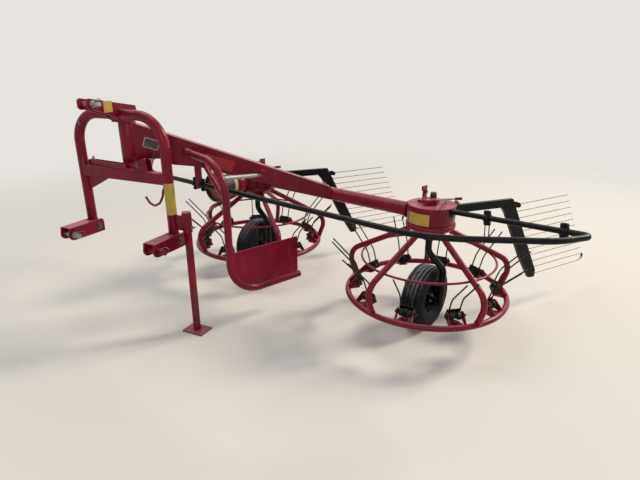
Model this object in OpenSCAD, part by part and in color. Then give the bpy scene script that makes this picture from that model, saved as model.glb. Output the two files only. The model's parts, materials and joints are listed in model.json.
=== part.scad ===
// Twin rotor hay rake, mounted, with the drive on the right rotor.
// Millimetres. +X is the machine's left, +Y its rear, +Z up. The ground is z = 0.

/* [Rotors] */
// Distance between the two rotor axes
hub_spacing = 1530; // [1500:10:1700]
// Diameter of the fixed gear drum over each rotor
drum_d = 287; // [280:1:320]
// Height of the drum's underside above the ground
drum_floor = 706; // [700:1:730]
// Height of the drum
drum_h = 115; // [112:1:125]
// Diameter of the lower ring, at its tube's middle
ring_d = 989; // [960:1:1020]
// Height of the lower ring's middle
ring_z = 247; // [240:1:270]
// Diameter of the lower ring's tube
ring_tube_d = 27; // [22:1:32]
// Diameter of the upper ring, at its rod's middle
upper_ring_d = 819; // [760:1:860]
// Diameter of the upper ring's rod
upper_rod_d = 12; // [8:1:16]
// Number of spokes on a rotor
spoke_count = 5; // [4:1:6]
// Diameter of a spoke's tube
spoke_tube_d = 30; // [24:1:34]
// Height of a spoke's knee
knee_z = 440; // [420:1:470]
// How far a spoke's knee lies inside the lower ring
knee_inset = 26; // [15:1:45]
// Turn of the spokes on the left rotor
left_phase = 39; // [0:1:72]
// Turn of the spokes on the right rotor
right_phase = 57; // [0:1:72]

/* [Tines] */
// Number of tine brackets on a rotor
bracket_count = 10; // [8:1:12]
// Wire diameter of a tine
tine_d = 9; // [7:0.5:10]
// Distance between the two wires of a tine pair
tine_gap = 64; // [50:1:80]
// Length of a tine's straight root beyond its coil's middle
tine_root = 110; // [80:5:130]
// Length of a tine beyond its bend
tine_len = 210; // [150:5:210]
// Angle of a tine's root above the horizontal
tine_rise = 72; // [68:1:80]
// How far a tine bends outward
tine_bend = 26; // [0:1:28]
// Width of a tine holder, along the ring
holder_w = 88; // [80:1:100]

/* [Wheels] */
// Diameter over the tyre
wheel_d = 410; // [390:2:430]
// Width over the tyre
wheel_w = 152; // [120:2:170]
// Diameter of the rim
rim_d = 206; // [190:2:230]
// Diameter of the axle stub
axle_d = 25; // [20:1:30]
// Diameter of the wheel leg's tube
leg_tube_d = 42; // [36:1:48]
// Clearance between the tyre and the wheel leg
leg_clearance = 14; // [10:1:30]

/* [Beam] */
// Diameter of the tube between the drums
cross_d = 89; // [80:1:95]
// Height of that tube's middle
cross_z = 756; // [752:1:765]
// Width of the tapered boom
boom_w = 80; // [60:1:90]
// Top of the boom at the headstock
boom_top = 1284; // [1260:1:1290]
// Boom's depth behind the headstock
boom_h = 142; // [130:1:160]
// Boom's depth at the tube between the drums
boom_end_h = 90; // [84:1:96]
// Diameter of the boom's pivot post
post_d = 104; // [90:1:110]

/* [Headstock] */
// Distance from the rotors' axes forward to the pivot post
pivot_ahead = 1045; // [1000:5:1100]
// Distance from the machine's middle to the headstock's middle
headstock_offset = 752; // [720:2:790]
// Turn of the headstock about its post, as it is parked
head_turn = 14.5; // [0:0.5:18]
// Distance between the middles of the two arch legs
leg_spacing = 683; // [660:1:720]
// Diameter of the arch's tube
arch_tube_d = 60; // [50:1:64]
// Height of the arch's top above the boom, at its tube's middle
arch_above = 48; // [44:1:76]
// Bend radius of the arch
arch_bend = 180; // [120:5:230]
// Lower end of the arch legs
arch_foot = 570; // [560:5:580]
// Distance from the pivot post forward to the arch
arch_ahead = 72; // [70:1:100]
// Height of the crossbar's underside
crossbar_z = 945; // [920:1:955]
// Depth of the crossbar
crossbar_h = 65; // [50:1:70]

/* [Hitch] */
// Distance from the arch forward to the lower pins
lower_reach = 185; // [150:5:220]
// Height of the lower pins
lower_pin_z = 598; // [590:1:610]
// Diameter of the lower pins
lower_pin_d = 28; // [22:1:28.5]
// Distance from the arch forward to the top pin
upper_reach = 190; // [150:5:220]
// Height of the top pin
upper_pin_z = 1404; // [1396:1:1420]
// Diameter of the top pin
upper_pin_d = 25; // [19:1:26]
// Gap between the two top plates
upper_gap = 56; // [50:1:60]
// Thickness of the foot and top plates
hitch_plate = 12; // [8:1:14]
// Length of a pin's free end beside its plates
pin_free = 46; // [40:1:60]

/* [Parking stand] */
// Side of the stand's square tube
stand_side = 32; // [28:1:36]
// Width of the stand's foot plate
stand_foot_w = 150; // [120:5:160]
// Depth of the stand's foot plate
stand_foot_l = 112; // [90:2:130]
// Distance from the arch leg's middle to the stand's
stand_beside = 99; // [92:1:110]
// Lower end of the sleeve that the stand slides in
sleeve_low = 665; // [660:5:680]
// Height of the sleeve
sleeve_h = 111; // [101:2:121]

/* [Front guard] */
// Diameter of the guard's tube
guard_d = 30; // [25:1:34]
// Height of the guard's middle
guard_z = 877; // [870:1:885]
// Distance from the rotors' axes forward to the guard's front run
guard_ahead = 728; // [715:1:735]
// Distance from the machine's middle out to the guard's tip
guard_reach = 1680; // [1650:5:1700]

/* [Deflector] */
// Diameter of the hoop's tube
hoop_d = 46; // [40:1:50]
// Distance from the guard's front run forward to the hoop's upright
hoop_before = 107; // [60:1:120]
// Distance from the machine's middle to the hoop's upright
hoop_offset = 133; // [110:1:150]
// Height of the hoop's lowest run
hoop_low = 243; // [230:1:260]
// Height of the hoop's upper run
hoop_high = 1060; // [1040:1:1070]
// Bend radius of the hoop
hoop_bend = 210; // [150:5:230]
// Length of the deflector plate
plate_len = 518; // [460:2:560]
// Height of the deflector plate above the hoop's lowest run
plate_h = 276; // [250:2:300]
// Turn of the plate from the direction of travel
plate_turn = 10; // [0:1:15]

/* [Gates] */
// Distance from the rotor's axis to the gate arm's outer end
gate_reach = 600; // [594:2:620]
// Top of the gate arm
gate_top = 795; // [790:1:800]
// Depth of the gate arm
gate_arm_h = 50; // [44:1:54]
// Lower end of the gate's blade
gate_low = 210; // [190:5:240]
// How far out the blade leans to its lower end
gate_lean = 300; // [280:5:320]
// Width of the gate's blade, across its slope
blade_w = 84; // [70:1:86]
// Thickness of the gate's arm and blade
gate_t = 26; // [20:1:30]
// Number of thin rods on a gate
rod_count = 11; // [6:1:12]
// Length of a gate's rod
rod_len = 540; // [450:10:600]
// Turn of the gate's arm out from the rotors' line
gate_turn = 60; // [57:1:65]
// Turn of the gate's rods out from the rotors' line
rod_turn = 69; // [65:1:75]

/* [Fits] */
// Gap between two pieces that sit on each other
seat = 0.25; // [0.2:0.05:0.3]
// Clearance all round a pin or shaft in its bore
running = 0.06; // [0.04:0.01:0.09]
// How much fuller a bend is than the straight tube
bend_swell = 0.2; // [0.1:0.05:0.3]

/* [Hidden] */
$fn = 40;
lap = 1;
far = 2000;

hub_x = hub_spacing / 2;
drum_r = drum_d / 2;
drum_top = drum_floor + drum_h;
ring_r = ring_d / 2;
upper_ring_r = upper_ring_d / 2;
knee_r = ring_r - knee_inset;

// The bell is the rotor's own hub, and turns on the shaft below the drum.
shaft_r = 32;
bell_h = 62;
bell_r = 150;
bell_top = drum_floor - 2 * seat;
bell_low = bell_top - bell_h;
shaft_low = bell_low - 30;
spoke_root_r = 105;
spoke_root_z = bell_low + 28;
// The upper ring lies where the spokes pass its radius.
spoke_fall = (knee_z - spoke_root_z) / (knee_r - spoke_root_r);
upper_ring_z = spoke_root_z + spoke_fall * (upper_ring_r - spoke_root_r);

pivot = [-headstock_offset, -pivot_ahead];
leg_x = leg_spacing / 2;
lower_gap = arch_tube_d + 2 * seat;
lower_y = -arch_ahead - lower_reach;
upper_y = -arch_ahead - upper_reach;
ear_r = 34;
kingpin_r = 18;
arch_top = boom_top + arch_above;
hoop_ahead = guard_ahead + hoop_before;

// The hub line's place in the frame, so that the origin lies under the middle of the machine's outline
thick_rod_r = 6.5;
foot_half = lower_gap / 2 + hitch_plate;
front_end = pivot[1] - (leg_x + foot_half) * sin(head_turn) + lower_y * cos(head_turn) - ear_r;
rod_tip = rod_len - thick_rod_r;
rear_end = blade_x(gate_low) * sin(gate_turn) + rod_tip * sin(rod_turn) + thick_rod_r + bend_swell;
mid_y = -(front_end + rear_end) / 2;

red = [0.62, 0.05, 0.09];
black = [0.07, 0.07, 0.08];
grey = [0.62, 0.63, 0.64];

// Vector helpers
function unit(v) = v / norm(v);
function along(a, b, d) = a + unit(b - a) * d;
function turn_at(p, q, s) = 180 - acos(max(-1, min(1, unit(p - q) * unit(s - q))));
function tangent(p, q, s, r) = r * tan(turn_at(p, q, s) / 2);

// A round bar from a to b
module bar(a, b, r) {
    z = unit(b - a);
    side = abs(z[2]) > 0.9 ? [1, 0, 0] : [0, 0, 1];
    x = unit(cross(side, z));
    y = cross(z, x);
    multmatrix([[x[0], y[0], z[0], a[0]], [x[1], y[1], z[1], a[1]], [x[2], y[2], z[2], a[2]], [0, 0, 0, 1]])
        cylinder(r = r, h = norm(b - a));
}

// One bend of a tube, at the corner q between p and s
module elbow(p, q, s, bend_r, r) {
    turn = turn_at(p, q, s);
    t = bend_r * tan(turn / 2);
    from = along(q, p, t);
    to = along(q, s, t);
    centre = q + unit(unit(p - q) + unit(s - q)) * bend_r / cos(turn / 2);
    x = unit(from - centre);
    z = unit(cross(from - centre, to - centre));
    y = cross(z, x);
    multmatrix([[x[0], y[0], z[0], centre[0]], [x[1], y[1], z[1], centre[1]],
                [x[2], y[2], z[2], centre[2]], [0, 0, 0, 1]])
        rotate_extrude(angle = turn) translate([bend_r, 0]) circle(r = r + bend_swell);
}

// A round tube along corners, with one bend radius for each inner corner
module bent_tube(path, bends, r) {
    last = len(path) - 1;
    for (i = [0:last - 1]) {
        cut_a = i == 0 ? 0 : tangent(path[i - 1], path[i], path[i + 1], bends[i - 1]) - lap;
        cut_b = i == last - 1 ? 0 : tangent(path[i], path[i + 1], path[i + 2], bends[i]) - lap;
        bar(along(path[i], path[i + 1], cut_a), along(path[i + 1], path[i], cut_b), r);
    }
    for (i = [1:last - 1]) elbow(path[i - 1], path[i], path[i + 1], bends[i - 1], r);
}

// A round bar across X, centred on the point
module cross_bar(centre, r, w) {
    translate(centre) rotate([0, 90, 0]) cylinder(r = r, h = w, center = true);
}

// A flat plate of the thickness t, standing across X at x, with its outline in Y and Z
module side_plate(x, t, outline) {
    translate([x - t / 2, 0, 0]) rotate([90, 0, 90]) linear_extrude(t) polygon(outline);
}

// The boom's own axes: +X along it from the pivot post to the machine's middle
boom_turn = atan2(-pivot[1], -pivot[0]);
boom_len = norm(pivot);
boom_end_top = cross_z + boom_end_h / 2 + 4;
boom_slope = (boom_top - boom_end_top) / boom_len;
function boom_top_z(s) = boom_top - boom_slope * s;
post_low = crossbar_z + crossbar_h + 26;
boom_box_low = post_low + 30;
neck_s = 170;
belly_s = 245;
boom_start_s = kingpin_r + 4;
boom_end_s = boom_len - 20;

// A point that far inside the boom's left face, at that share of its length and the height z
function boom_point(share, inside, z) =
    let (out = boom_w / 2 - inside)
    [pivot[0] + share * boom_len * cos(boom_turn) + out * sin(boom_turn),
     pivot[1] + share * boom_len * sin(boom_turn) - out * cos(boom_turn), z];

module on_boom() {
    translate([pivot[0], pivot[1], 0]) rotate(boom_turn) children();
}

module boom_box() {
    rotate([90, 0, 0]) translate([0, 0, -boom_w / 2]) linear_extrude(boom_w)
        polygon([[boom_start_s, boom_top - 1], [boom_end_s, boom_top_z(boom_end_s)],
                 [boom_end_s, boom_top_z(boom_end_s) - boom_end_h],
                 [0.3 * boom_len, boom_top_z(0.3 * boom_len) - boom_h],
                 [belly_s, boom_top_z(belly_s) - boom_h - 34],
                 [neck_s, boom_box_low - 8], [boom_start_s, boom_box_low]]);
}

module boom() {
    color(red) difference() {
        union() {
            on_boom() boom_box();
            translate([pivot[0], pivot[1], post_low]) cylinder(d = post_d, h = boom_top - post_low);
        }
        translate([pivot[0], pivot[1], post_low - lap])
            cylinder(r = kingpin_r + running, h = boom_top - post_low + 2 * lap);
        cross_bar([0, 0, cross_z], cross_d / 2 + seat, 4 * boom_w);
    }
}

module cross_tube() {
    flange_x = hub_x - drum_r - 16;
    color(red) difference() {
        union() {
            cross_bar([0, 0, cross_z], cross_d / 2, hub_spacing);
            for (side = [-1, 1]) cross_bar([side * flange_x, 0, cross_z], cross_d / 2 + 8, 12);
        }
        for (side = [-1, 1]) translate([side * hub_x, 0, 0]) cylinder(r = drum_r + seat, h = far);
    }
}

// The gate's pivot beside the drum
gate_pin_r = 10;
gate_ear_r = 22;
pivot_r = drum_r + gate_ear_r + 8;
lug_h = 8;
lug_gap = 1.5;

// A gate's own axes: +X along its arm from the rotor's axis
module on_gate(side) {
    translate([side * hub_x, 0, 0]) rotate(gate_turn) children();
}

module gate_lug(z) {
    translate([drum_r - 6, -gate_ear_r, z]) cube([pivot_r - drum_r + 6, 2 * gate_ear_r, lug_h]);
    translate([pivot_r, 0, z]) cylinder(r = gate_ear_r, h = lug_h);
}

// The lid's lip round the drum
lip_h = 8;
lip_out = 3;

// The fixed drum over a rotor, with the shaft that the rotor turns on and the lugs of its gate
module drum(side) {
    arm_low = gate_top - gate_arm_h;
    color(red) {
        translate([side * hub_x, 0, 0]) {
            rotate_extrude() polygon([[0, drum_floor], [drum_r - 4, drum_floor], [drum_r - 4, drum_floor + 6],
                                      [drum_r, drum_floor + 8], [drum_r, drum_top - lip_h],
                                      [drum_r + lip_out, drum_top - lip_h], [drum_r + lip_out, drum_top - 2],
                                      [drum_r - 4, drum_top], [0, drum_top]]);
            translate([0, 0, shaft_low]) cylinder(r = shaft_r, h = drum_floor - shaft_low + lap);
        }
        on_gate(side) {
            gate_lug(gate_top + lug_gap);
            gate_lug(arm_low - lug_gap - lug_h);
            translate([pivot_r, 0, arm_low - lug_gap - lug_h])
                cylinder(r = gate_pin_r, h = gate_arm_h + 2 * lug_gap + 2 * lug_h);
        }
    }
}

// The lever post on top of a drum, on the side of the machine's middle
lever_in = 62;
lever_t = 12;
module lever_post(side) {
    color(red) translate([side * hub_x, 0, drum_top + seat]) mirror([side < 0 ? 1 : 0, 0, 0]) {
        translate([-lever_in - 26, -20, 0]) cube([lever_in + 52, 64, lever_t]);
        translate([-lever_in - lever_t / 2, 0, 0]) cube([lever_t, 36, 84]);
        translate([-lever_in - lever_t / 2, -14, 70]) cube([lever_t, 50, 26]);
        translate([0, 12, lever_t - 2]) cylinder(r = 16, h = 38);
    }
}

// The black cranked leg that carries a wheel on its stub axle
module wheel_leg(side) {
    top = shaft_low - seat;
    beside = wheel_w / 2 + leg_clearance + leg_tube_d / 2;
    axle_z = wheel_d / 2;
    color(black) translate([side * hub_x, 0, 0]) {
        bent_tube([[0, 0, top], [0, 0, wheel_d + 100], [beside, 0, wheel_d + 10], [beside, 0, axle_z - 30]],
                  [60, 60], leg_tube_d / 2);
        translate([0, 0, top - 18]) cylinder(r = shaft_r + 10, h = 18);
        cross_bar([(beside - wheel_w / 2) / 2, 0, axle_z], axle_d / 2, beside + wheel_w / 2);
    }
}

// The headstock's own axes: the post is its origin, +X its left, and the arch stands ahead of the post
module on_head() {
    translate([pivot[0], pivot[1], 0]) rotate(head_turn) children();
}

// One of the two brackets that hold the kingpin
module kingpin_bracket(z, h) {
    translate([-45, -arch_ahead, z]) cube([90, arch_ahead, h]);
    translate([0, 0, z]) cylinder(r = 45, h = h);
}

// The gusset under the crossbar, at the right leg only
gusset_w = 220;
gusset_h = 92;
module headstock_arch() {
    r = arch_tube_d / 2;
    upper_low = boom_top + 2;
    color(red) on_head() {
        bent_tube([[-leg_x, -arch_ahead, arch_foot], [-leg_x, -arch_ahead, arch_top],
                   [leg_x, -arch_ahead, arch_top], [leg_x, -arch_ahead, arch_foot]],
                  [arch_bend, arch_bend], r);
        translate([-leg_x, -arch_ahead - r + 5, crossbar_z])
            cube([leg_spacing, arch_tube_d - 10, crossbar_h]);
        difference() {
            union() {
                kingpin_bracket(crossbar_z + crossbar_h - 10, 34);
                kingpin_bracket(upper_low, 14);
                translate([-45, -arch_ahead, upper_low]) cube([90, 20, arch_top - r + 12 - upper_low]);
            }
            translate([0, 0, crossbar_z]) cylinder(r = kingpin_r + seat, h = 500);
        }
        translate([-leg_x, -arch_ahead + 5, 0]) rotate([90, 0, 0]) linear_extrude(10)
            polygon([[0, crossbar_z + 1], [gusset_w, crossbar_z + 1],
                     [r, crossbar_z - gusset_h], [0, crossbar_z - gusset_h]]);
    }
}

module kingpin() {
    low = crossbar_z + crossbar_h - 10;
    color(grey) on_head() {
        translate([0, 0, low]) cylinder(r = kingpin_r, h = boom_top + 30 - low);
        translate([0, 0, boom_top + 16 + seat]) cylinder(r = kingpin_r + 8, h = 10);
    }
}

module top_link_plates() {
    nose = upper_y - 34;
    color(red) on_head() difference() {
        for (side = [-1, 1])
            side_plate(side * (upper_gap + hitch_plate) / 2, hitch_plate,
                       [[nose, upper_pin_z - 20], [nose, upper_pin_z + 18], [nose + 14, upper_pin_z + 30],
                        [46, arch_top + 44], [50, arch_top + 12], [12, arch_top - 12],
                        [-arch_ahead - 18, arch_top - 16], [upper_y + 10, upper_pin_z - 34],
                        [nose + 12, upper_pin_z - 32]]);
        cross_bar([0, -arch_ahead, arch_top], arch_tube_d / 2 + seat, 4 * upper_gap);
        cross_bar([0, upper_y, upper_pin_z], upper_pin_d / 2 + seat, 4 * upper_gap);
    }
}

// A hitch pin across X: its head on the right, its collar and free end on the left
collar_t = 6;
module hitch_pin(centre, d, w) {
    translate(centre) rotate([0, 90, 0]) {
        translate([0, 0, -w / 2 - 8]) cylinder(d = d + 14, h = 8);
        translate([0, 0, -w / 2]) cylinder(d = d, h = w + collar_t + pin_free);
        translate([0, 0, w / 2]) cylinder(d = d + 14, h = collar_t);
    }
}

upper_pin_len = upper_gap + 2 * hitch_plate + 2 * seat;
lower_pin_len = lower_gap + 2 * hitch_plate + 2 * seat;

module top_link_pin() {
    color(grey) on_head() hitch_pin([0, upper_y, upper_pin_z], upper_pin_d, upper_pin_len);
}

// A foot: a channel, open below, round the leg's end and the lower link's pin, with a floor under the leg
foot_top = lower_pin_z + 48;
module lower_foot(side) {
    nose = lower_y - ear_r;
    back = -arch_ahead + 50;
    web_t = 8;
    low = arch_foot - seat - web_t;
    color(red) on_head() translate([side * leg_x, 0, 0]) difference() {
        union() {
            for (s = [-1, 1]) {
                side_plate(s * (lower_gap + hitch_plate) / 2, hitch_plate,
                           [[nose, lower_pin_z], [nose + 8, foot_top], [back - 14, foot_top],
                            [back, foot_top - 14], [back, low], [-arch_ahead - 60, low],
                            [lower_y, lower_pin_z - ear_r]]);
                cross_bar([s * (lower_gap + hitch_plate) / 2, lower_y, lower_pin_z], ear_r, hitch_plate);
            }
            for (web = [[nose + 12, -arch_ahead - 34, foot_top - web_t],
                        [-arch_ahead + 34, back - 1, foot_top - web_t - 14], [-arch_ahead - 60, back, low]])
                translate([-lower_gap / 2 - lap, web[0], web[2]])
                    cube([lower_gap + 2 * lap, web[1] - web[0], web_t]);
        }
        cross_bar([0, lower_y, lower_pin_z], lower_pin_d / 2 + seat, 4 * lower_gap);
    }
}

module lower_pin(side) {
    color(side > 0 ? red : grey) on_head()
        hitch_pin([side * leg_x, lower_y, lower_pin_z], lower_pin_d, lower_pin_len);
}

// The fixed sleeve on the left leg that the parking stand slides in
stand_at = [leg_x + stand_beside, -arch_ahead + 12];
sleeve_r = stand_side * 0.71 + 6;
stand_slack = 0.4;
cap_h = 12;
bracket_inset = 10;
module stand_sleeve() {
    color(red) on_head() difference() {
        union() {
            translate([stand_at[0], stand_at[1], sleeve_low]) cylinder(r = sleeve_r, h = sleeve_h);
            translate([leg_x, -arch_ahead - 6, sleeve_low + bracket_inset])
                cube([stand_beside, 12, sleeve_h - 2 * bracket_inset]);
        }
        translate([stand_at[0], stand_at[1], 0])
            linear_extrude(far) square(stand_side + 2 * stand_slack, center = true);
        translate([leg_x, -arch_ahead, 0]) cylinder(r = arch_tube_d / 2 + seat, h = far);
    }
}

module parking_stand() {
    color(red) on_head() translate([stand_at[0], stand_at[1], 0]) {
        translate([-stand_foot_w / 2, -stand_foot_l / 2, 0]) cube([stand_foot_w, stand_foot_l, 8]);
        translate([-stand_side / 2, -stand_side / 2, 0])
            cube([stand_side, stand_side, sleeve_low + sleeve_h + 2]);
        translate([0, 0, sleeve_low + sleeve_h + 1]) cylinder(r = sleeve_r - 2, h = cap_h);
    }
}

// The hanger's place along the boom is where the boom crosses the guard's front run.
hanger_s = (pivot_ahead - guard_ahead) / sin(boom_turn);
hanger_x = pivot[0] + hanger_s * cos(boom_turn);

// One side's half of the front guard, from under the boom round to the drum
module front_guard(side) {
    start = side > 0 ? hanger_x + lap : lap - hanger_x;
    color(black) mirror([side < 0 ? 1 : 0, 0, 0])
        difference() {
            bent_tube([[start, -guard_ahead, guard_z], [0.66 * guard_reach, -guard_ahead, guard_z],
                       [0.94 * guard_reach, -0.55 * guard_ahead, guard_z],
                       [guard_reach, -0.316 * guard_ahead, guard_z], [hub_x + 40, -9, cross_z + 38]],
                      [0.77 * guard_ahead, 0.41 * guard_ahead, 34], guard_d / 2);
            translate([hub_x, 0, 0]) {
                cylinder(r = drum_r + seat, h = far);
                translate([0, 0, drum_top - lip_h - seat])
                    cylinder(r = drum_r + lip_out + seat, h = lip_h + 2 * seat);
            }
        }
}

module guard_hanger() {
    color(red) difference() {
        on_boom() translate([hanger_s - 22, -22, guard_z - 26]) cube([44, 44, 160]);
        on_boom() translate([0, 0, -seat]) boom_box();
        cross_bar([hanger_x, -guard_ahead, guard_z], guard_d / 2 + seat, 200);
    }
}

// The deflector hoop's corners, from the boom's left face to the plate's rear end
hoop_top_start = boom_point(0.25, 6, hoop_high + 34);
hoop_upper = [-hoop_offset, -hoop_ahead, hoop_high];
hoop_lower = [-hoop_offset, -hoop_ahead, hoop_low];
hoop_end = hoop_lower + (plate_len + 14) * [sin(plate_turn), cos(plate_turn), 0];
brace_start = boom_point(0.333, 10, hoop_high - 40);
brace_r = 17;

module hoop_tube(r) {
    bent_tube([hoop_top_start, hoop_upper, hoop_lower, hoop_end], [hoop_bend, hoop_bend], r);
}

module deflector_hoop() {
    color(red) difference() {
        union() {
            hoop_tube(hoop_d / 2);
            bar(brace_start, [-hoop_offset, -hoop_ahead, hoop_high - hoop_bend], brace_r);
        }
        on_boom() translate([0, -boom_w / 2 - seat, 0]) cube([boom_len, boom_w + 2 * seat, far]);
        on_boom() cube([boom_len, far, far]);
    }
}

module deflector_plate() {
    plate_t = 6;
    color(red) difference() {
        translate([hoop_lower[0], hoop_lower[1], hoop_low]) rotate(90 - plate_turn) rotate([90, 0, 0])
            translate([0, 0, -plate_t / 2]) linear_extrude(plate_t)
                polygon(concat([[0, plate_h], [plate_len, plate_h], [plate_len, 0]],
                               [for (a = [270:-15:180]) hoop_bend * [1 + cos(a), 1 + sin(a)]]));
        hoop_tube(hoop_d / 2 + seat);
    }
}

// The stay leaves the hoop inside its upper bend.
stay_drop = 80;
stay_rise = 1 - min(stay_drop, hoop_bend) / hoop_bend;
stay_x = -hoop_offset - hoop_bend * (1 - sqrt(1 - stay_rise * stay_rise));
module hoop_stay() {
    color(grey) difference() {
        bar([stay_x, -hoop_ahead, hoop_high - stay_drop], boom_point(0.613, 16, hoop_high - 140), 13);
        on_boom() translate([0, -boom_w / 2 - seat, 0]) cube([boom_len, boom_w + 2 * seat, far]);
        on_boom() cube([boom_len, far, far]);
        hoop_tube(hoop_d / 2 + seat);
    }
}

// The drive's input: a housing on the right drum, with its plain stub
input_r = 46;
input_len = 60;
stub_d = 34.9;
stub_len = 90;
module input_shaft() {
    color(grey) translate([-hub_x, 0, 0]) difference() {
        translate([0, 0, cross_z]) rotate([90, 0, 0]) {
            cylinder(r = input_r, h = drum_r + input_len);
            cylinder(d = stub_d, h = drum_r + input_len + stub_len);
        }
        cylinder(r = drum_r + seat, h = far);
    }
}

module input_guard() {
    back = drum_r + 24;
    flare = back + 120;
    rim = back + 260;
    color(black) translate([-hub_x, 0, cross_z]) rotate([90, 0, 0]) rotate_extrude()
        polygon([[input_r + seat, back], [60, back], [70, back + 30], [74, flare], [104, rim], [98, rim],
                 [68, flare + 2], [64, back + 32], [54, back + 12], [input_r + seat, back + 12]]);
}

// A rotor's turning basket: bell, spokes, rings and tine brackets
holder_r = ring_r - 58;
holder_z = ring_z + 46;
bracket_turn = 180 / spoke_count / 2;

module rotor(side, phase) {
    color(red) translate([side * hub_x, 0, 0]) {
        rotate_extrude() polygon([[shaft_r + running, bell_low], [90, bell_low], [110, bell_low + 10],
                                  [bell_r, bell_top - 22], [bell_r, bell_top],
                                  [shaft_r + running, bell_top]]);
        for (i = [0:spoke_count - 1]) rotate(phase + i * 360 / spoke_count)
            bent_tube([[spoke_root_r, 0, spoke_root_z], [knee_r, 0, knee_z], [ring_r, 0, ring_z]],
                      [70], spoke_tube_d / 2);
        translate([0, 0, ring_z]) rotate_extrude() translate([ring_r, 0]) circle(d = ring_tube_d);
        translate([0, 0, upper_ring_z]) rotate_extrude() translate([upper_ring_r, 0]) circle(d = upper_rod_d);
        for (i = [0:bracket_count - 1]) rotate(phase + bracket_turn + i * 360 / bracket_count)
            rotate([90, 0, 0]) translate([0, 0, -holder_w / 2 - ear_t - seat]) {
                bracket_ear();
                translate([0, 0, holder_w + ear_t + 2 * seat]) bracket_ear();
            }
        for (i = [0:bracket_count - 1])
            rotate(phase + bracket_turn + i * 360 / bracket_count) bracket_base();
    }
}

// The plate that a tine bracket stands on, with its round boss
module bracket_base() {
    half = holder_w / 2 + seat + 1;
    translate([0, 0, ring_z - 3]) {
        linear_extrude(6) polygon([[ring_r, -half], [ring_r, half], [ring_r - 58, 26], [ring_r - 58, -26]]);
        translate([ring_r - 40, 0, 0]) cylinder(r = 11, h = 14);
    }
}

// One ear of a tine bracket, in the plane through the rotor's axis
ear_t = 4;
module bracket_ear() {
    linear_extrude(ear_t) polygon([[ring_r - 6, ring_z - 8], [ring_r + 6, ring_z + 8],
                                   [holder_r + 26, holder_z + 20], [holder_r - 8, holder_z + 24],
                                   [holder_r - 24, holder_z - 14]]);
}

// Places one holder's own axes: +X outward along the tines
module at_holder(side, phase, i) {
    translate([side * hub_x, 0, 0]) rotate(phase + bracket_turn + i * 360 / bracket_count)
        translate([holder_r, 0, holder_z]) rotate([0, -tine_rise, 0]) children();
}

// A holder: the spool inside the two coils, the clamp between them and the cover on the rotor's inner side
holder_l = 56;
spool_r = 14;
clamp_w = 16;
cover_t = 5;
coil_r = spool_r + 0.5 + tine_d / 2 + bend_swell;
cover_z = coil_r + tine_d / 2 + bend_swell + seat;
module tine_holders(side, phase) {
    color(black) for (i = [0:bracket_count - 1]) at_holder(side, phase, i) {
        rotate([90, 0, 0]) cylinder(r = spool_r, h = holder_w, center = true);
        translate([-spool_r, -clamp_w / 2, 0]) cube([2 * spool_r, clamp_w, cover_z + lap]);
        translate([-holder_l / 2, -holder_w / 2, cover_z]) cube([holder_l, holder_w, cover_t]);
    }
}

// A spring coil round Y, with its outermost turn at y = 0 and the others towards -Y
coil_turns = 3;
turn_pitch = tine_d + 2 * bend_swell;
module coil() {
    wire_r = turn_pitch / 2;
    inner = coil_r - wire_r;
    rotate([90, 0, 0]) rotate_extrude() polygon(concat(
        [[inner, -wire_r]],
        [for (k = [0:coil_turns - 1]) for (a = [-90:30:90]) if (a > -90 || k == 0)
            [coil_r + wire_r * cos(a), k * turn_pitch + wire_r * sin(a)]],
        [[inner, (coil_turns - 0.5) * turn_pitch]]));
}

module tines(side, phase) {
    color(black) for (i = [0:bracket_count - 1]) at_holder(side, phase, i)
        for (s = [0, 1]) mirror([0, s, 0]) translate([0, tine_gap / 2, 0]) {
            coil();
            bent_tube([[0, 0, coil_r], [tine_root, 0, coil_r],
                       [tine_root + tine_len * cos(tine_bend), 0, coil_r - tine_len * sin(tine_bend)]],
                      [120], tine_d / 2);
        }
}

// A tyre with ribs round its crown
rib_count = 5;
bead_inset = 26;
module tyre(side) {
    r = wheel_d / 2;
    w = wheel_w / 2;
    pitch = (wheel_w - 28) / rib_count;
    crown = [for (i = [0:rib_count - 1])
        let (x = -w + 14 + (i + 0.5) * pitch, drop = 10 * pow(x / w, 2), half = pitch / 2)
        each [[r - drop - 7, x - half + 1], [r - drop, x - half + 4],
              [r - drop, x + half - 4], [r - drop - 7, x + half - 1]]];
    color(black) translate([side * hub_x, 0, r]) rotate([0, 90, 0]) rotate_extrude() polygon(concat(
        [[rim_d / 2, -w + bead_inset], [rim_d / 2 + 14, -w + 14],
         [r - 60, -w], [r - 40, -w], [r - 20, -w + 8]],
        crown,
        [[r - 20, w - 8], [r - 40, w], [r - 60, w],
         [rim_d / 2 + 14, w - 14], [rim_d / 2, w - bead_inset]]));
}

module rim(side) {
    w = wheel_w / 2 - bead_inset;
    r = rim_d / 2 - seat;
    hub_r = 28;
    wall = 8;
    color(black) translate([side * hub_x, 0, wheel_d / 2]) rotate([0, 90, 0]) rotate_extrude()
        polygon([[axle_d / 2 + running, -w], [hub_r, -w], [hub_r, -10], [r - wall, -6], [r - wall, -w],
                 [r, -w], [r, w], [r - wall, w], [r - wall, 6],
                 [hub_r, 10], [hub_r, w], [axle_d / 2 + running, w]]);
}

// The blade's outer edge at the height z
function blade_x(z) = gate_reach + gate_lean * (gate_top - z) / (gate_top - gate_low);
blade_slope = atan2(gate_lean, gate_top - gate_low);
blade_across = blade_w / cos(blade_slope);
rod_r = 2.5;
rod_pitch = (gate_top - gate_low - 70) / rod_count;
rod_hold = 16;

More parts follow.
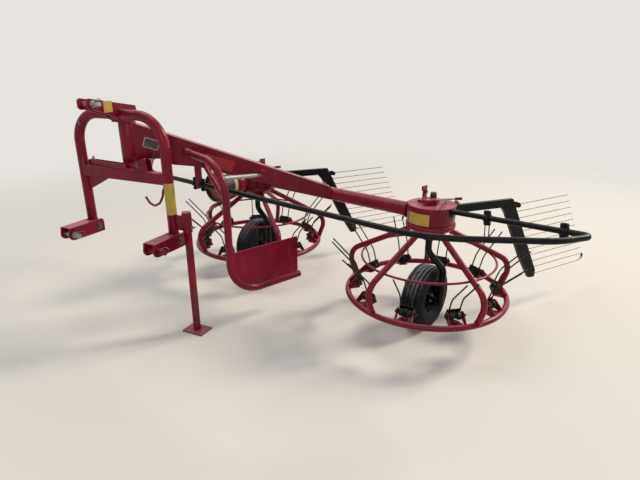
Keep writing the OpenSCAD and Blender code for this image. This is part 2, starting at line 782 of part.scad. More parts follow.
module gate_arm(side) {
    arm_low = gate_top - gate_arm_h;
    color(black) on_gate(side) difference() {
        union() {
            translate([pivot_r, 0, arm_low]) cylinder(r = gate_ear_r, h = gate_arm_h);
            rotate([90, 0, 0]) translate([0, 0, -gate_t / 2]) linear_extrude(gate_t)
                polygon([[pivot_r, arm_low], [pivot_r, gate_top], [blade_x(gate_top), gate_top],
                         [blade_x(gate_low + 50), gate_low + 50], [blade_x(gate_low + 50), gate_low],
                         [blade_x(gate_low) - blade_across * 0.8, gate_low],
                         [blade_x(gate_low + 160) - blade_across, gate_low + 160],
                         [blade_x(arm_low - 40) - blade_across, arm_low - 40],
                         [blade_x(arm_low) - blade_across - 12, arm_low]]);
        }
        translate([pivot_r, 0, 0]) cylinder(r = gate_pin_r + running, h = far);
        for (i = [0:rod_count]) gate_rod(i, seat);
    }
}

// One rod in the gate's own axes, from inside the blade outward. The lowest is thick, and its end is bent up.
rod_end_h = min(40, rod_pitch - rod_r - 4);
rod_end_bend = 30;
module gate_rod(i, clear) {
    z = gate_low + 24 + i * rod_pitch;
    x = blade_x(max(z, gate_low + 50));
    translate([x, 0, z]) rotate(rod_turn - gate_turn)
        if (i == 0) bent_tube([[-rod_hold - clear, 0, 0], [rod_tip, 0, 0], [rod_tip, 0, rod_end_h]],
                              [rod_end_bend], thick_rod_r + clear);
        else rotate([0, 90, 0]) translate([0, 0, -rod_hold - clear])
            cylinder(r = rod_r + clear, h = rod_len + rod_hold);
}

module gate_rods(side) {
    color(grey) on_gate(side) for (i = [0:rod_count]) gate_rod(i, 0);
}

// Everything is drawn about the hub line's middle, and set back so that the origin is under the middle
// of the machine's outline.
module placed() {
    translate([0, mid_y, 0]) children();
}

placed() boom();
placed() cross_tube();
placed() drum(1);  // drum_left
placed() drum(-1);  // drum_right
placed() lever_post(1);  // lever_post_left
placed() lever_post(-1);  // lever_post_right
placed() wheel_leg(1);  // wheel_leg_left
placed() wheel_leg(-1);  // wheel_leg_right
placed() input_shaft();
placed() input_guard();
placed() front_guard(1);  // front_guard_left
placed() front_guard(-1);  // front_guard_right
placed() guard_hanger();
placed() deflector_hoop();
placed() deflector_plate();
placed() hoop_stay();
placed() headstock_arch();
placed() kingpin();
placed() top_link_plates();
placed() top_link_pin();
placed() lower_foot(1);  // lower_foot_left
placed() lower_foot(-1);  // lower_foot_right
placed() lower_pin(1);  // lower_pin_left
placed() lower_pin(-1);  // lower_pin_right
placed() stand_sleeve();
placed() parking_stand();
placed() rotor(1, left_phase);  // rotor_left
placed() rotor(-1, right_phase);  // rotor_right
placed() tine_holders(1, left_phase);  // tine_holders_left
placed() tine_holders(-1, right_phase);  // tine_holders_right
placed() tines(1, left_phase);  // tines_left
placed() tines(-1, right_phase);  // tines_right
placed() tyre(1);  // tyre_left
placed() tyre(-1);  // tyre_right
placed() rim(1);  // rim_left
placed() rim(-1);  // rim_right
placed() gate_arm(1);  // gate_arm_left
placed() gate_arm(-1);  // gate_arm_right
placed() gate_rods(1);  // gate_rods_left
placed() gate_rods(-1);  // gate_rods_right
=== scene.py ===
# %% [markdown]
# A mounted hay rake with two tined rotors, standing as it is parked. Its construction comes from the packed
# CAD model, which is loaded as a fixed frame. This script gives it its finishes and the small parts that a
# draughtsman leaves out: bolts, clamps, hooks, caps and blank plates. Places are in metres. The sections of
# small parts, such as a bar's radius or a plate's outline, are in millimetres, as on a drawing.

# %% Load the frame
import json
import math
import random

import bmesh
import bpy
from mathutils import Matrix, Vector


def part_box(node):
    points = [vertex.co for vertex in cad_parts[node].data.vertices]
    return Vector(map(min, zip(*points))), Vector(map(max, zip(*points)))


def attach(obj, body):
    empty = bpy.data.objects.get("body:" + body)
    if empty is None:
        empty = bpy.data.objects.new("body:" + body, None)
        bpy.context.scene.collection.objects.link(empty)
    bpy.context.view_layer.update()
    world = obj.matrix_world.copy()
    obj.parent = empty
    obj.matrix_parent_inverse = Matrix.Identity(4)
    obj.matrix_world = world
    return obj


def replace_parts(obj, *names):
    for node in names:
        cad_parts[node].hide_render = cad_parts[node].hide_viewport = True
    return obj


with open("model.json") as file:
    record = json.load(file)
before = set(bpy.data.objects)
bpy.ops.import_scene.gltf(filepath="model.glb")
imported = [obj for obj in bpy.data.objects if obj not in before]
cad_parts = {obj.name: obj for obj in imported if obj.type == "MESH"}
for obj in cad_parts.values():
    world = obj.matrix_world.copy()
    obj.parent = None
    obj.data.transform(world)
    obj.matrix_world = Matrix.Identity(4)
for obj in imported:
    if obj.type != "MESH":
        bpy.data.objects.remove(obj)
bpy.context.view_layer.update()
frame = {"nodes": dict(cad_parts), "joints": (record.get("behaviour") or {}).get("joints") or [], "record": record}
record = frame["record"]

# %% [markdown]
# The added parts need a few places on the machine. They are read from the loaded nodes and joints, so that a
# part stays on what carries it: the two rotor axes, the swivel of the headstock, and the line of the boom. Each
# is a set of axes on the ground. The headstock's X runs to its left foot, the boom's X runs back to the beam.

# %% Places on the machine
MM = 0.001
MACHINE = Matrix.Identity(4)


def joint_place(name):
    return Vector(next(j["pos_m"] for j in frame["joints"] if j["name"] == name))


def axes_at(origin, x_axis, z_axis=(0, 0, 1)):
    """A matrix at origin with its X along x_axis and its Z as near to z_axis as it can be."""
    x = Vector(x_axis).normalized()
    y = Vector(z_axis).cross(x).normalized()
    z = x.cross(y)
    axes = Matrix((x, y, z)).transposed().to_4x4()
    axes.translation = Vector(origin)
    return axes


def at(axes, x=0, y=0, z=0, turn=(0, 0, 0)):
    """A place in some axes, turned about its own X, Y and Z by degrees."""
    turning = Matrix.Identity(4)
    for angle, axis in zip(turn, "XYZ"):
        turning = turning @ Matrix.Rotation(math.radians(angle), 4, axis)
    return axes @ Matrix.Translation((x, y, z)) @ turning


swivel = joint_place("headstock_swivel")
swivel.z = 0
head_side = Vector(next(m["axis"] for m in record["mounts"] if m["name"] == "lower_pin_left"))
head = axes_at(swivel, head_side)
rotor_axis = {side: joint_place(f"rotor_{side}_spin") for side in ("left", "right")}
hub_x, hub_y = rotor_axis["left"].xy
rotor_hub = {side: at(MACHINE, axis.x, hub_y) for side, axis in rotor_axis.items()}
drum_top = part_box("drum_left")[1].z
boom_line = Vector((0, hub_y, 0)) - swivel
boom = axes_at(swivel, boom_line)
print("rotor axes", round(hub_x, 4), round(hub_y, 4), "boom", round(boom_line.length, 3), "m long")

# %% [markdown]
# The camera stands where the photograph was taken from: ahead of the machine and on its left, at head height,
# looking about twenty degrees down. A lens of 27 mm on a 36 mm sensor gives the photograph's field of view.

# %% Camera
SENSOR_MM, FOCAL_PIXELS, PICTURE_WIDTH = 36.0, 486.83, 640
HEADING, LOOKS_DOWN = math.radians(39.7097), math.radians(19.8387)
EYE_X, EYE_AHEAD, EYE_HEIGHT = 2.0538, 2.6055, 1.6065

scene = bpy.context.scene
camera = bpy.data.objects.new("camera", bpy.data.cameras.new("camera"))
scene.collection.objects.link(camera)
camera.data.sensor_width = SENSOR_MM
camera.data.lens = SENSOR_MM * FOCAL_PIXELS / PICTURE_WIDTH
camera.location = (EYE_X, hub_y - EYE_AHEAD, EYE_HEIGHT)
camera.rotation_euler = (math.pi / 2 - LOOKS_DOWN, 0, HEADING)
camera.data.clip_start, camera.data.clip_end = 0.05, 60
scene.camera = camera
print("lens", round(camera.data.lens, 2), "mm")

# %% [markdown]
# Colours are written in hex and turned to linear values once. All materials are made of nodes, and one small
# function adds a node with its settings and its links.

# %% Colours and nodes


def srgb(code):
    """A hex colour as the linear values that shaders work in."""
    parts = [int(code[i:i + 2], 16) / 255 for i in (1, 3, 5)]
    return tuple(v / 12.92 if v <= 0.04045 else ((v + 0.055) / 1.055) ** 2.4 for v in parts) + (1.0,)


def add(tree, kind, inputs=(), **settings):
    """Adds one node, sets its properties, and gives each input a value or a link from another node."""
    node = tree.nodes.new("ShaderNode" + kind)
    for name, value in settings.items():
        setattr(node, name, value)
    for socket, value in dict(inputs).items():
        if isinstance(value, bpy.types.NodeSocket):
            tree.links.new(value, node.inputs[socket])
        else:
            node.inputs[socket].default_value = value
    return node


def blank_material(name):
    material = bpy.data.materials.new(name)
    material.use_nodes = True
    material.node_tree.nodes.clear()
    return material, material.node_tree


# %% [markdown]
# A pale floor under a pale world makes a plain studio. Towards its rim the floor fades into the backdrop's
# colour, so that no horizon cuts the picture. The fade shows only to rays that reach the eye, so it adds no
# light to the machine, and the floor keeps its shadow.

# %% Floor
FLOOR_COLOUR, BACKDROP = "#dedad3", "#e6e3de"
FADE_START, FADE_END, FLOOR_RADIUS = 1.5, 7.0, 30


def seen_directly(tree):
    """1 for the rays of the camera, and for those that reach the eye by gloss or through glass."""
    path = add(tree, "LightPath").outputs
    both = add(tree, "Math", {0: path["Is Camera Ray"], 1: path["Is Glossy Ray"]}, operation="ADD")
    return add(tree, "Math", {0: both.outputs[0], 1: path["Is Transmission Ray"]}, operation="ADD",
               use_clamp=True).outputs[0]


floor_paint, tree = blank_material("matt_studio_floor")
shade = add(tree, "BsdfPrincipled", {"Base Color": srgb(FLOOR_COLOUR), "Roughness": 0.9})
glow = add(tree, "Emission", {"Color": srgb(BACKDROP), "Strength": 1.0})
spot = add(tree, "VectorMath", {0: add(tree, "TexCoord").outputs["Object"]}, operation="LENGTH")
away = add(tree, "MapRange", {"Value": spot.outputs["Value"], "From Min": FADE_START, "From Max": FADE_END},
           interpolation_type="SMOOTHSTEP")
share = add(tree, "Math", {0: away.outputs[0], 1: seen_directly(tree)}, operation="MULTIPLY")
mixed = add(tree, "MixShader", {0: share.outputs[0], 1: shade.outputs[0], 2: glow.outputs[0]})
add(tree, "OutputMaterial", {"Surface": mixed.outputs[0]})
bm = bmesh.new()
bmesh.ops.create_circle(bm, cap_ends=True, radius=FLOOR_RADIUS, segments=96)
floor_mesh = bpy.data.meshes.new("floor")
bm.to_mesh(floor_mesh)
bm.free()
floor = bpy.data.objects.new("floor", floor_mesh)
scene.collection.objects.link(floor)
floor.location.z = -0.5 * MM
floor_mesh.materials.append(floor_paint)
print("floor", 2 * FLOOR_RADIUS, "m across")

# %% [markdown]
# Three large soft lamps light the machine. The strongest is behind it on the right of the picture, where the
# sun stood, and lights the top faces. The others only keep the near sides readable.

# %% World and lamps
world = bpy.data.worlds.new("studio")
world.use_nodes = True
world.node_tree.nodes.clear()
tree = world.node_tree
light = add(tree, "Background", {"Color": srgb("#f4f6fa"), "Strength": 0.44})
backdrop = add(tree, "Background", {"Color": srgb(BACKDROP), "Strength": 1.0})
seen = add(tree, "MixShader", {0: seen_directly(tree), 1: light.outputs[0], 2: backdrop.outputs[0]})
add(tree, "OutputWorld", {"Surface": seen.outputs[0]})
scene.world = world
scene.view_settings.view_transform = "Standard"


def softbox(name, place, aim, size, power, colour="#ffffff"):
    lamp = bpy.data.objects.new(name, bpy.data.lights.new(name, "AREA"))
    lamp.data.shape, lamp.data.size, lamp.data.energy = "DISK", size, power
    lamp.data.color = srgb(colour)[:3]
    lamp.location = place
    lamp.rotation_euler = (Vector(aim) - Vector(place)).to_track_quat("-Z", "Y").to_euler()
    scene.collection.objects.link(lamp)


softbox("sun_side", (5.7, 9.2, 8.5), (0, 0, 0.6), 3.2, 1400, "#fff4e4")
softbox("front_fill", (3.4, -4.6, 3.0), (0, 0, 0.6), 3.0, 45)
softbox("top", (-1.5, -0.5, 4.6), (0, 0, 0.5), 3.0, 60)

# %% [markdown]
# Old farm paint is seldom one colour. Each finish below starts from the real coating or material and adds what
# years outside did to it. A pattern is given by the size of its features in millimetres.

# %% Patterns that the finishes share
UP = 2


def per_mm(size):
    """The texture scale for features of about that many millimetres, as coordinates are in metres."""
    return 1000.0 / size


def clouds(tree, size, low, high, detail=4.0, stretch=(1, 1, 1), offset=0.0):
    """Soft patches of that size in millimetres: 0 where the noise is under low, 1 where it is over high."""
    place = add(tree, "TexCoord")
    laid = add(tree, "Mapping", {"Vector": place.outputs["Object"], "Scale": stretch, "Location": (offset,) * 3})
    noise = add(tree, "TexNoise", {"Vector": laid.outputs[0], "Scale": per_mm(size), "Detail": detail})
    return add(tree, "MapRange", {"Value": noise.outputs["Fac"], "From Min": low, "From Max": high}).outputs[0]


def layered(tree, colour, top, *covers):
    """A colour with another, given in hex, laid over it as far as all the covers let it through."""
    share = covers[0]
    for cover in covers[1:]:
        share = add(tree, "Math", {0: share, 1: cover}, operation="MULTIPLY").outputs[0]
    return add(tree, "Mix", {0: share, 6: colour, 7: srgb(top)}, data_type="RGBA").outputs[2]


def facing_up(tree, low, high):
    """1 on faces that look up, where dust settles, the sun bleaches and a highlight is painted."""
    shape = add(tree, "NewGeometry")
    parts = add(tree, "SeparateXYZ", {0: shape.outputs["Normal"]})
    return add(tree, "MapRange", {"Value": parts.outputs[UP], "From Min": low, "From Max": high}).outputs[0]


def below(tree, high, low=0.0):
    """1 near the ground, 0 above that height."""
    place = add(tree, "TexCoord")
    parts = add(tree, "SeparateXYZ", {0: place.outputs["Object"]})
    return add(tree, "MapRange", {"Value": parts.outputs[UP], "From Min": high, "From Max": low}).outputs[0]


def edges(tree, width):
    """1 along outer edges within that many millimetres, where the coating is thin."""
    shape = add(tree, "NewGeometry")
    rounded_off = add(tree, "Bevel", {"Radius": width * MM}, samples=4)
    same = add(tree, "VectorMath", {0: rounded_off.outputs[0], 1: shape.outputs["Normal"]}, operation="DOT_PRODUCT")
    return add(tree, "MapRange", {"Value": same.outputs["Value"], "From Min": 0.97, "From Max": 0.80}).outputs[0]


def surfaced(tree, colour, roughness, reliefs, **values):
    """The one shader that all these finishes use. A relief is a pattern, its strength and its depth in mm."""
    under = {}
    for height, strength, depth in reliefs:
        relief = {"Height": height, "Strength": strength, "Distance": depth * MM, **under}
        under = {"Normal": add(tree, "Bump", relief).outputs[0]}
    shader = add(tree, "BsdfPrincipled", {"Base Color": colour, "Roughness": roughness, **under})
    for name, value in values.items():
        shader.inputs[name.replace("_", " ")].default_value = value
    add(tree, "OutputMaterial", {"Surface": shader.outputs[0]})


# %% [markdown]
# Sprayed enamel on steel: glossy with a faint orange peel of some 3 mm, bleached and dusty where it looks up
# and lightened there by a painted highlight, chipped to grey primer and rust along its edges, and splashed with
# soil near the ground.

# %% Sprayed enamels
DUST, SOIL = "#b3a288", "#5f5043"


def sprayed_enamel(name, paint, deep, faded_and_top_highlight, chip, roughness, top_fade_and_highlight, shine):
    material, tree = blank_material(name)
    colour = layered(tree, srgb(paint), deep, clouds(tree, 160, 0.35, 0.7))
    # Faces that look up take the pale colour: sun bleaching, and with it a painted highlight on the tops.
    colour = layered(tree, colour, faded_and_top_highlight, facing_up(tree, 0.85, 1.0), top_fade_and_highlight)
    colour = layered(tree, colour, faded_and_top_highlight, clouds(tree, 30, 0.55, 0.8, 6, (1, 1, 0.25)), 0.16)
    colour = layered(tree, colour, DUST, facing_up(tree, 0.7, 1.0), clouds(tree, 22, 0.4, 0.7, 8), 0.15)
    colour = layered(tree, colour, SOIL, below(tree, 0.42), clouds(tree, 9, 0.5, 0.62, 8), 0.16)
    colour = layered(tree, colour, chip, clouds(tree, 6, 0.66, 0.7, 2, (0.12, 1, 1.6), 3.1), 0.5)
    colour = layered(tree, colour, chip, edges(tree, 3.5), clouds(tree, 14, 0.5, 0.58, 6))
    matt = add(tree, "MapRange", {"Value": clouds(tree, 45, 0.3, 0.75, 5), "To Min": roughness,
                                  "To Max": roughness + 0.18})
    peel, dents = (clouds(tree, 3, 0.2, 0.8, 2), 0.12, 0.3), (clouds(tree, 70, 0.3, 0.7, 2), 0.12, 1.2)
    surfaced(tree, colour, matt.outputs[0], (peel, dents), Specular_IOR_Level=shine)
    return material


# The pale colour of each paint is its faded tone and its painted top highlight: pink on the red, bluish grey on the
# black.
red_enamel = sprayed_enamel("red_sprayed_enamel", "#7c0725", "#660521", "#bb5c74", "#43241f",
                            roughness=0.2, top_fade_and_highlight=0.6, shine=0.22)
black_paint = sprayed_enamel("black_satin_paint", "#07090d", "#050609", "#2a313a", "#3a3029",
                             roughness=0.25, top_fade_and_highlight=0.3, shine=0.16)
print("enamels:", red_enamel.name, black_paint.name)

# %% [markdown]
# Three metals are bare. Zinc on the pins, the plate's rim and the stay has crystals that differ in brightness.
# The spring wire of the tines keeps its dark scale. The rods of the gates rust, and the hay polishes the lowest.
# Metals keep the default index of refraction and differ in roughness.

# %% Bare metals


def galvanised_steel(name, dull, bright, bloom):
    """Zinc crystals of about 9 mm, each a little brighter or duller, with a dusty bloom between them."""
    material, tree = blank_material(name)
    place = add(tree, "TexCoord")
    cells = add(tree, "TexVoronoi", {"Vector": place.outputs["Object"], "Scale": per_mm(9)})
    grey = add(tree, "SeparateXYZ", {0: cells.outputs["Color"]})
    colour = layered(tree, srgb(dull), bright, grey.outputs[0], 0.8)
    colour = layered(tree, colour, bloom, clouds(tree, 18, 0.5, 0.7, 6), 0.5)
    rough = add(tree, "MapRange", {"Value": grey.outputs[1], "To Min": 0.34, "To Max": 0.56})
    surfaced(tree, colour, rough.outputs[0], [(clouds(tree, 5, 0.3, 0.7), 0.2, 0.2)], Metallic=0.85)
    return material


def spring_wire(name):
    """Oil-hardened wire: dark scale that rubs off to brown rust and bright steel."""
    material, tree = blank_material(name)
    colour = layered(tree, srgb("#161617"), "#33291f", clouds(tree, 12, 0.45, 0.7, 6))
    colour = layered(tree, colour, "#7b756c", clouds(tree, 40, 0.6, 0.75, 6, offset=5.0))
    surfaced(tree, colour, 0.5, [(clouds(tree, 3, 0.3, 0.7), 0.3, 0.2)], Metallic=0.55)
    return material


def rake_rods(name):
    """Straw-coloured rust, and the thick rod at the foot worn bright by the hay."""
    material, tree = blank_material(name)
    colour = layered(tree, srgb("#5a4a3b"), "#8b7a62", clouds(tree, 25, 0.4, 0.7, 6))
    colour = layered(tree, colour, "#aaa69d", below(tree, 0.262, 0.256))
    colour = layered(tree, colour, "#6e5440", clouds(tree, 14, 0.55, 0.72, 6), 0.4)
    surfaced(tree, colour, 0.42, [(clouds(tree, 3, 0.3, 0.7), 0.3, 0.2)], Metallic=0.6)
    return material


zinc = galvanised_steel("galvanised_steel", "#8f9190", "#b9bab7", "#8d867c")
dull_zinc = galvanised_steel("weathered_zinc_plating", "#5c5c59", "#7b7a75", "#5b4a3c")
wire = spring_wire("oil_hardened_spring_wire")
gate_wire = rake_rods("rake_rods_and_bent_rod")
print("metals:", zinc.name, dull_zinc.name, wire.name, gate_wire.name)

# %% [markdown]
# The rest is moulded or printed: plastic guards and caps, the tyres' rubber, and the film and anodised
# aluminium of the blank labels. Dust shows most on the rubber, where it lies on the ribs of the crown, and the
# upper ribs also get a painted highlight.

# %% Plastics, rubber and labels
WHEEL_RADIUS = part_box("tyre_left")[1].z / 2


def moulded_plastic(name, fresh, dusty):
    """Polypropylene with a fine mould grain of about 2 mm and pale dust in it."""
    material, tree = blank_material(name)
    colour = layered(tree, srgb(fresh), dusty, facing_up(tree, 0.1, 0.9), clouds(tree, 16, 0.4, 0.7, 8), 0.3)
    surfaced(tree, colour, 0.5, [(clouds(tree, 2, 0.3, 0.7, 2), 0.25, 0.2)])
    return material


def tyre_rubber(name):
    """Black rubber with a painted bluish reflection, pale dust and a painted highlight on the crown's ribs, and soil at
    the foot.
    """
    material, tree = blank_material(name)
    place = add(tree, "TexCoord")
    parts = add(tree, "SeparateXYZ", {0: place.outputs["Object"]})
    along = add(tree, "Math", {0: parts.outputs[1], 1: hub_y}, operation="SUBTRACT")
    up = add(tree, "Math", {0: parts.outputs[UP], 1: WHEEL_RADIUS}, operation="SUBTRACT")
    flat = add(tree, "CombineXYZ", {0: along.outputs[0], 1: up.outputs[0]})
    out = add(tree, "VectorMath", {0: flat.outputs[0]}, operation="LENGTH").outputs["Value"]
    crown = add(tree, "MapRange", {"Value": out, "From Min": WHEEL_RADIUS - 6 * MM, "From Max": WHEEL_RADIUS - 1 * MM})
    # The crown's upper ribs are paler: pale dust, and a painted highlight on the faces that look up.
    dust_and_painted_highlight = (crown.outputs[0], facing_up(tree, 0.25, 0.9), clouds(tree, 26, 0.2, 0.5, 8), 0.8)
    # The bluish tint of the rubber's near-black is a painted reflection.
    colour = layered(tree, srgb("#070b13"), "#0d121b", clouds(tree, 60, 0.4, 0.7, 5))
    colour = layered(tree, colour, "#8b8b90", *dust_and_painted_highlight)
    colour = layered(tree, colour, "#4f4a45", below(tree, 0.2), clouds(tree, 12, 0.5, 0.7, 8), 0.22)
    surfaced(tree, colour, 0.72, [(clouds(tree, 4, 0.3, 0.7), 0.3, 0.4)], Specular_IOR_Level=0.2)
    return material


def label_film(name, fresh, worn):
    """A blank label: smooth film, faded in patches and flecked with dirt."""
    material, tree = blank_material(name)
    colour = layered(tree, srgb(fresh), worn, clouds(tree, 35, 0.4, 0.75, 6))
    colour = layered(tree, colour, "#5b4a2c", clouds(tree, 5, 0.55, 0.7, 6), 0.4)
    surfaced(tree, colour, 0.42, [(clouds(tree, 8, 0.3, 0.7), 0.15, 0.2)])
    return material


black_plastic = moulded_plastic("black_polypropylene", "#0f1013", "#4a4641")
orange_plastic = moulded_plastic("orange_polypropylene", "#7d3a18", "#5d4536")
tan_plastic = moulded_plastic("aged_nylon", "#a89878", "#8a7f6a")
rubber = tyre_rubber("tyre_rubber_dust_and_painted_light")
yellow_vinyl = label_film("yellow_vinyl", "#b89a2c", "#a0893f")
grey_plate = label_film("grey_anodised_aluminium", "#262325", "#5c5254")
red_vinyl = label_film("red_vinyl", "#a3162a", "#8f1526")
print("materials:", len(bpy.data.materials))

# %% [markdown]
# The CAD nodes keep their shapes and get their finishes here. The edges of cut sheet are never quite sharp, so a
# narrow bevel runs along them and catches the light. Tubes are smooth already.

# %% Finishes and soft edges on the CAD nodes
FINISH_OF_SLOT = {"red": red_enamel, "black_paint": black_paint, "black_plastic": black_plastic,
                  "spring_steel": wire, "zinc": zinc, "rubber": rubber, "rim_paint": black_paint}
NODES_OF_EDGE_MM = {3.0: ("boom",), 2.5: ("gate_arm_left", "gate_arm_right"),
                    2.0: ("headstock_arch", "parking_stand"),
                    1.5: ("top_link_plates", "lower_foot_left", "lower_foot_right", "stand_sleeve", "guard_hanger",
                          "lever_post_left", "lever_post_right", "drum_left", "drum_right"),
                    1.2: ("deflector_plate",), 1.0: ("kingpin",)}


def soften(part, width):
    """A narrow bevel along a part's sharp edges, made of two strips."""
    edge = part.modifiers.new("broken_edge", "BEVEL")
    edge.width, edge.segments, edge.limit_method = width * MM, 2, "ANGLE"
    edge.angle_limit, edge.harden_normals = math.radians(40), True


slot_of = {s["node"]: s["material_slot"] for s in record["subparts"]}
for name, part in frame["nodes"].items():
    finish = gate_wire if name.startswith("gate_rods") else FINISH_OF_SLOT[slot_of[name]]
    part.data.materials.clear()
    part.data.materials.append(finish)
for width, names in NODES_OF_EDGE_MM.items():
    for name in names:
        part = frame["nodes"][name]
        part.modifiers.new("joined", "WELD").merge_threshold = 0.01 * MM
        soften(part, width)
print("bevelled", sum(map(len, NODES_OF_EDGE_MM.values())), "nodes")

# %% [markdown]
# The small parts are built from four shapes that a workshop would recognise: a bent bar, a turned piece, a cut
# plate and a hexagon bolt. The first is a bar, swept along a path whose corners are rounded as a bender rounds
# them, with its rings of points where they count.

# %% Bent bars


def bent(corners, radius, step=12):
    """The corners as a path whose inner corners are rounded to the bend radius."""
    corners = [Vector(c) for c in corners]
    path = [corners[0]]
    for before, corner, after in zip(corners, corners[1:], corners[2:]):
        back, on = (before - corner), (after - corner)
        half = back.angle(on) / 2
        reach = min(radius / math.tan(half), 0.49 * back.length, 0.49 * on.length)
        middle = corner + (back.normalized() + on.normalized()).normalized() * reach / math.cos(half)
        start = corner + back.normalized() * reach - middle
        end = corner + on.normalized() * reach - middle
        count = max(2, math.ceil(math.degrees(math.pi - 2 * half) / step))
        axis = start.cross(end).normalized()
        turn = start.angle(end)
        path += [middle + Matrix.Rotation(turn * k / count, 3, axis) @ start for k in range(count + 1)]
    return path + [corners[-1]]


def ring_path(place, radius, count, start=0, stop=360):
    """Points of a circle, or of a part of one, in the place's XY plane."""
    turns = [math.radians(start + (stop - start) * k / count) for k in range(count + (stop - start < 360))]
    return [place @ Vector((radius * math.cos(a), radius * math.sin(a), 0)) for a in turns]


def bar(bm, path, radius, sides, closed=False):
    """A round bar along a path in metres. Each ring of points is carried on from the last, so that it never twists."""
    path, rings, normal = [Vector(p) for p in path], [], None
    for i, point in enumerate(path):
        before = path[i - 1] if i or closed else point * 2 - path[1]
        after = path[(i + 1) % len(path)] if i < len(path) - 1 or closed else point * 2 - path[i - 1]
        along = ((point - before).normalized() + (after - point).normalized()).normalized()
        normal = along.orthogonal() if normal is None else normal - along * normal.dot(along)
        normal.normalize()
        across = along.cross(normal)
        turns = [2 * math.pi * k / sides for k in range(sides)]
        rings.append([bm.verts.new(point + (normal * math.cos(a) + across * math.sin(a)) * radius * MM) for a in turns])
    for first, second in zip(rings, rings[1:] + (rings[:1] if closed else [])):
        for k in range(sides):
            m = (k + 1) % sides
            bm.faces.new((first[k], first[m], second[m], second[k]))
    if not closed:
        bm.faces.new(rings[0][::-1])
        bm.faces.new(rings[-1])


# %% [markdown]
# The second shape is a turned piece, a profile carried round an axis as on a lathe. The third is a plate, an
# outline given a thickness. A bolt is three turned pieces: a washer, a head of six sides with its chamfer, and
# sometimes the end of its stud.

# %% Turned pieces, plates and bolts


def turned(bm, profile, place, sides):
    """A turned piece: (radius, height) pairs from its foot to its top, about the place's Z."""
    rings = []
    for radius, height in profile:
        turns = [2 * math.pi * k / sides for k in range(sides)] if radius else [0]
        rings.append([bm.verts.new(place @ (Vector((radius * math.cos(a), radius * math.sin(a), height)) * MM))
                      for a in turns])
    for first, second in zip(rings, rings[1:]):
        for k in range(sides):
            m = (k + 1) % sides
            corners = [first[k % len(first)], first[m % len(first)], second[m % len(second)], second[k % len(second)]]
            bm.faces.new(list(dict.fromkeys(corners)))
    for ring in (rings[0], rings[-1]):
        if len(ring) > 1:
            bm.faces.new(ring)


def plate(bm, outline, thickness, place):
    """A flat plate in the place's XY plane, half its thickness to each side."""
    low, high = [[bm.verts.new(place @ (Vector((x, y, z)) * MM)) for x, y in outline]
                 for z in (-thickness / 2, thickness / 2)]
    bm.faces.new(low[::-1])
    bm.faces.new(high)
    for k in range(len(outline)):
        m = (k + 1) % len(outline)
        bm.faces.new((low[k], low[m], high[m], high[k]))


def rounded(width, height, corner):
    """A rectangle about the middle, with round corners of four steps."""
    points = []
    for sx, sy, start in ((1, 1, 0), (-1, 1, 90), (-1, -1, 180), (1, -1, 270)):
        for k in range(5):
            a = math.radians(start + 90 * k / 4)
            points.append((sx * (width / 2 - corner) + corner * math.cos(a),
                           sy * (height / 2 - corner) + corner * math.sin(a)))
    return points


def hex_bolt(bm, place, across, height, washer=True, stud=0):
    """A bolt head with its chamfer and washer; the place's Z points out of the steel it clamps."""
    base = across * 0.12 if washer else 0
    if washer:
        turned(bm, [(across * 0.98, -base), (across * 0.98, base), (across * 0.5, base)], place, 20)
    corner = across / math.sqrt(3)
    top = base + height
    turned(bm, [(corner, base), (corner, base + height * 0.82), (corner * 0.86, top), (0, top)], place, 6)
    if stud:
        turned(bm, [(across * 0.3, base), (across * 0.3, top + stud * 0.8), (across * 0.24, top + stud),
                    (0, top + stud)], place, 14)


# %% [markdown]
# Every added piece ends alike: its faces look outward, curved ones are shaded smooth and the rest keep their
# edges, it gets its finish, and it says which body carries it.

# %% Ending a piece
faces_made = {}


def piece(name, bm, finish, body, bevel=0.0):
    """Makes a mesh into a finished piece that rides on a body."""
    bmesh.ops.recalc_face_normals(bm, faces=bm.faces)
    mesh = bpy.data.meshes.new(name)
    bm.to_mesh(mesh)
    bm.free()
    mesh.materials.append(finish)
    mesh.shade_smooth()
    mesh.set_sharp_from_angle(angle=math.radians(38))
    new = bpy.data.objects.new(name, mesh)
    scene.collection.objects.link(new)
    if bevel:
        soften(new, bevel)
    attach(new, body)
    faces_made[name] = len(mesh.polygons)
    print(name, "on", body, faces_made[name], "faces")
    return new


# %% [markdown]
# The labels are blank: a yellow one wrapped round the near leg, one on the top link plates and one on the near
# gear drum, and on the boom a framed plate and a red one. A label is a thin sheet that follows the steel below.

# %% Blank labels
FILM, COLUMNS = 0.5, 20
TUBE_R, DRUM_R = 30.2 * MM, 143.7 * MM
LEG_X, ARCH_Y, BOOM_FACE_Y = 0.3415, -0.072, -0.0403


def wrapped(bm, place, radius, start, stop, low, high):
    """A thin sheet laid round a cylinder, between two azimuths in degrees and two heights."""
    rows, outside = [], radius + FILM * MM
    for k in range(COLUMNS + 1):
        a = math.radians(start + (stop - start) * k / COLUMNS)
        rows.append([bm.verts.new(place @ Vector((r * math.cos(a), r * math.sin(a), z)))
                     for r, z in ((radius, low), (outside, low), (outside, high), (radius, high))])
    for first, second in zip(rows, rows[1:]):
        for k in range(4):
            bm.faces.new((first[k], second[k], second[(k + 1) % 4], first[(k + 1) % 4]))
    bm.faces.new(rows[0])
    bm.faces.new(rows[-1][::-1])


bm = bmesh.new()
wrapped(bm, at(head, LEG_X, ARCH_Y), TUBE_R, -125, 30, 0.768, 0.957)
plate(bm, rounded(60, 62, 4), FILM, at(head, 0.0403, -0.160, 1.383, (90, 90, 0)))
piece("blank_labels_headstock", bm, yellow_vinyl, "headstock")

bm = bmesh.new()
wrapped(bm, rotor_hub["left"], DRUM_R, -125, -67, 0.716, 0.786)
piece("blank_label_drum", bm, yellow_vinyl, "chassis")

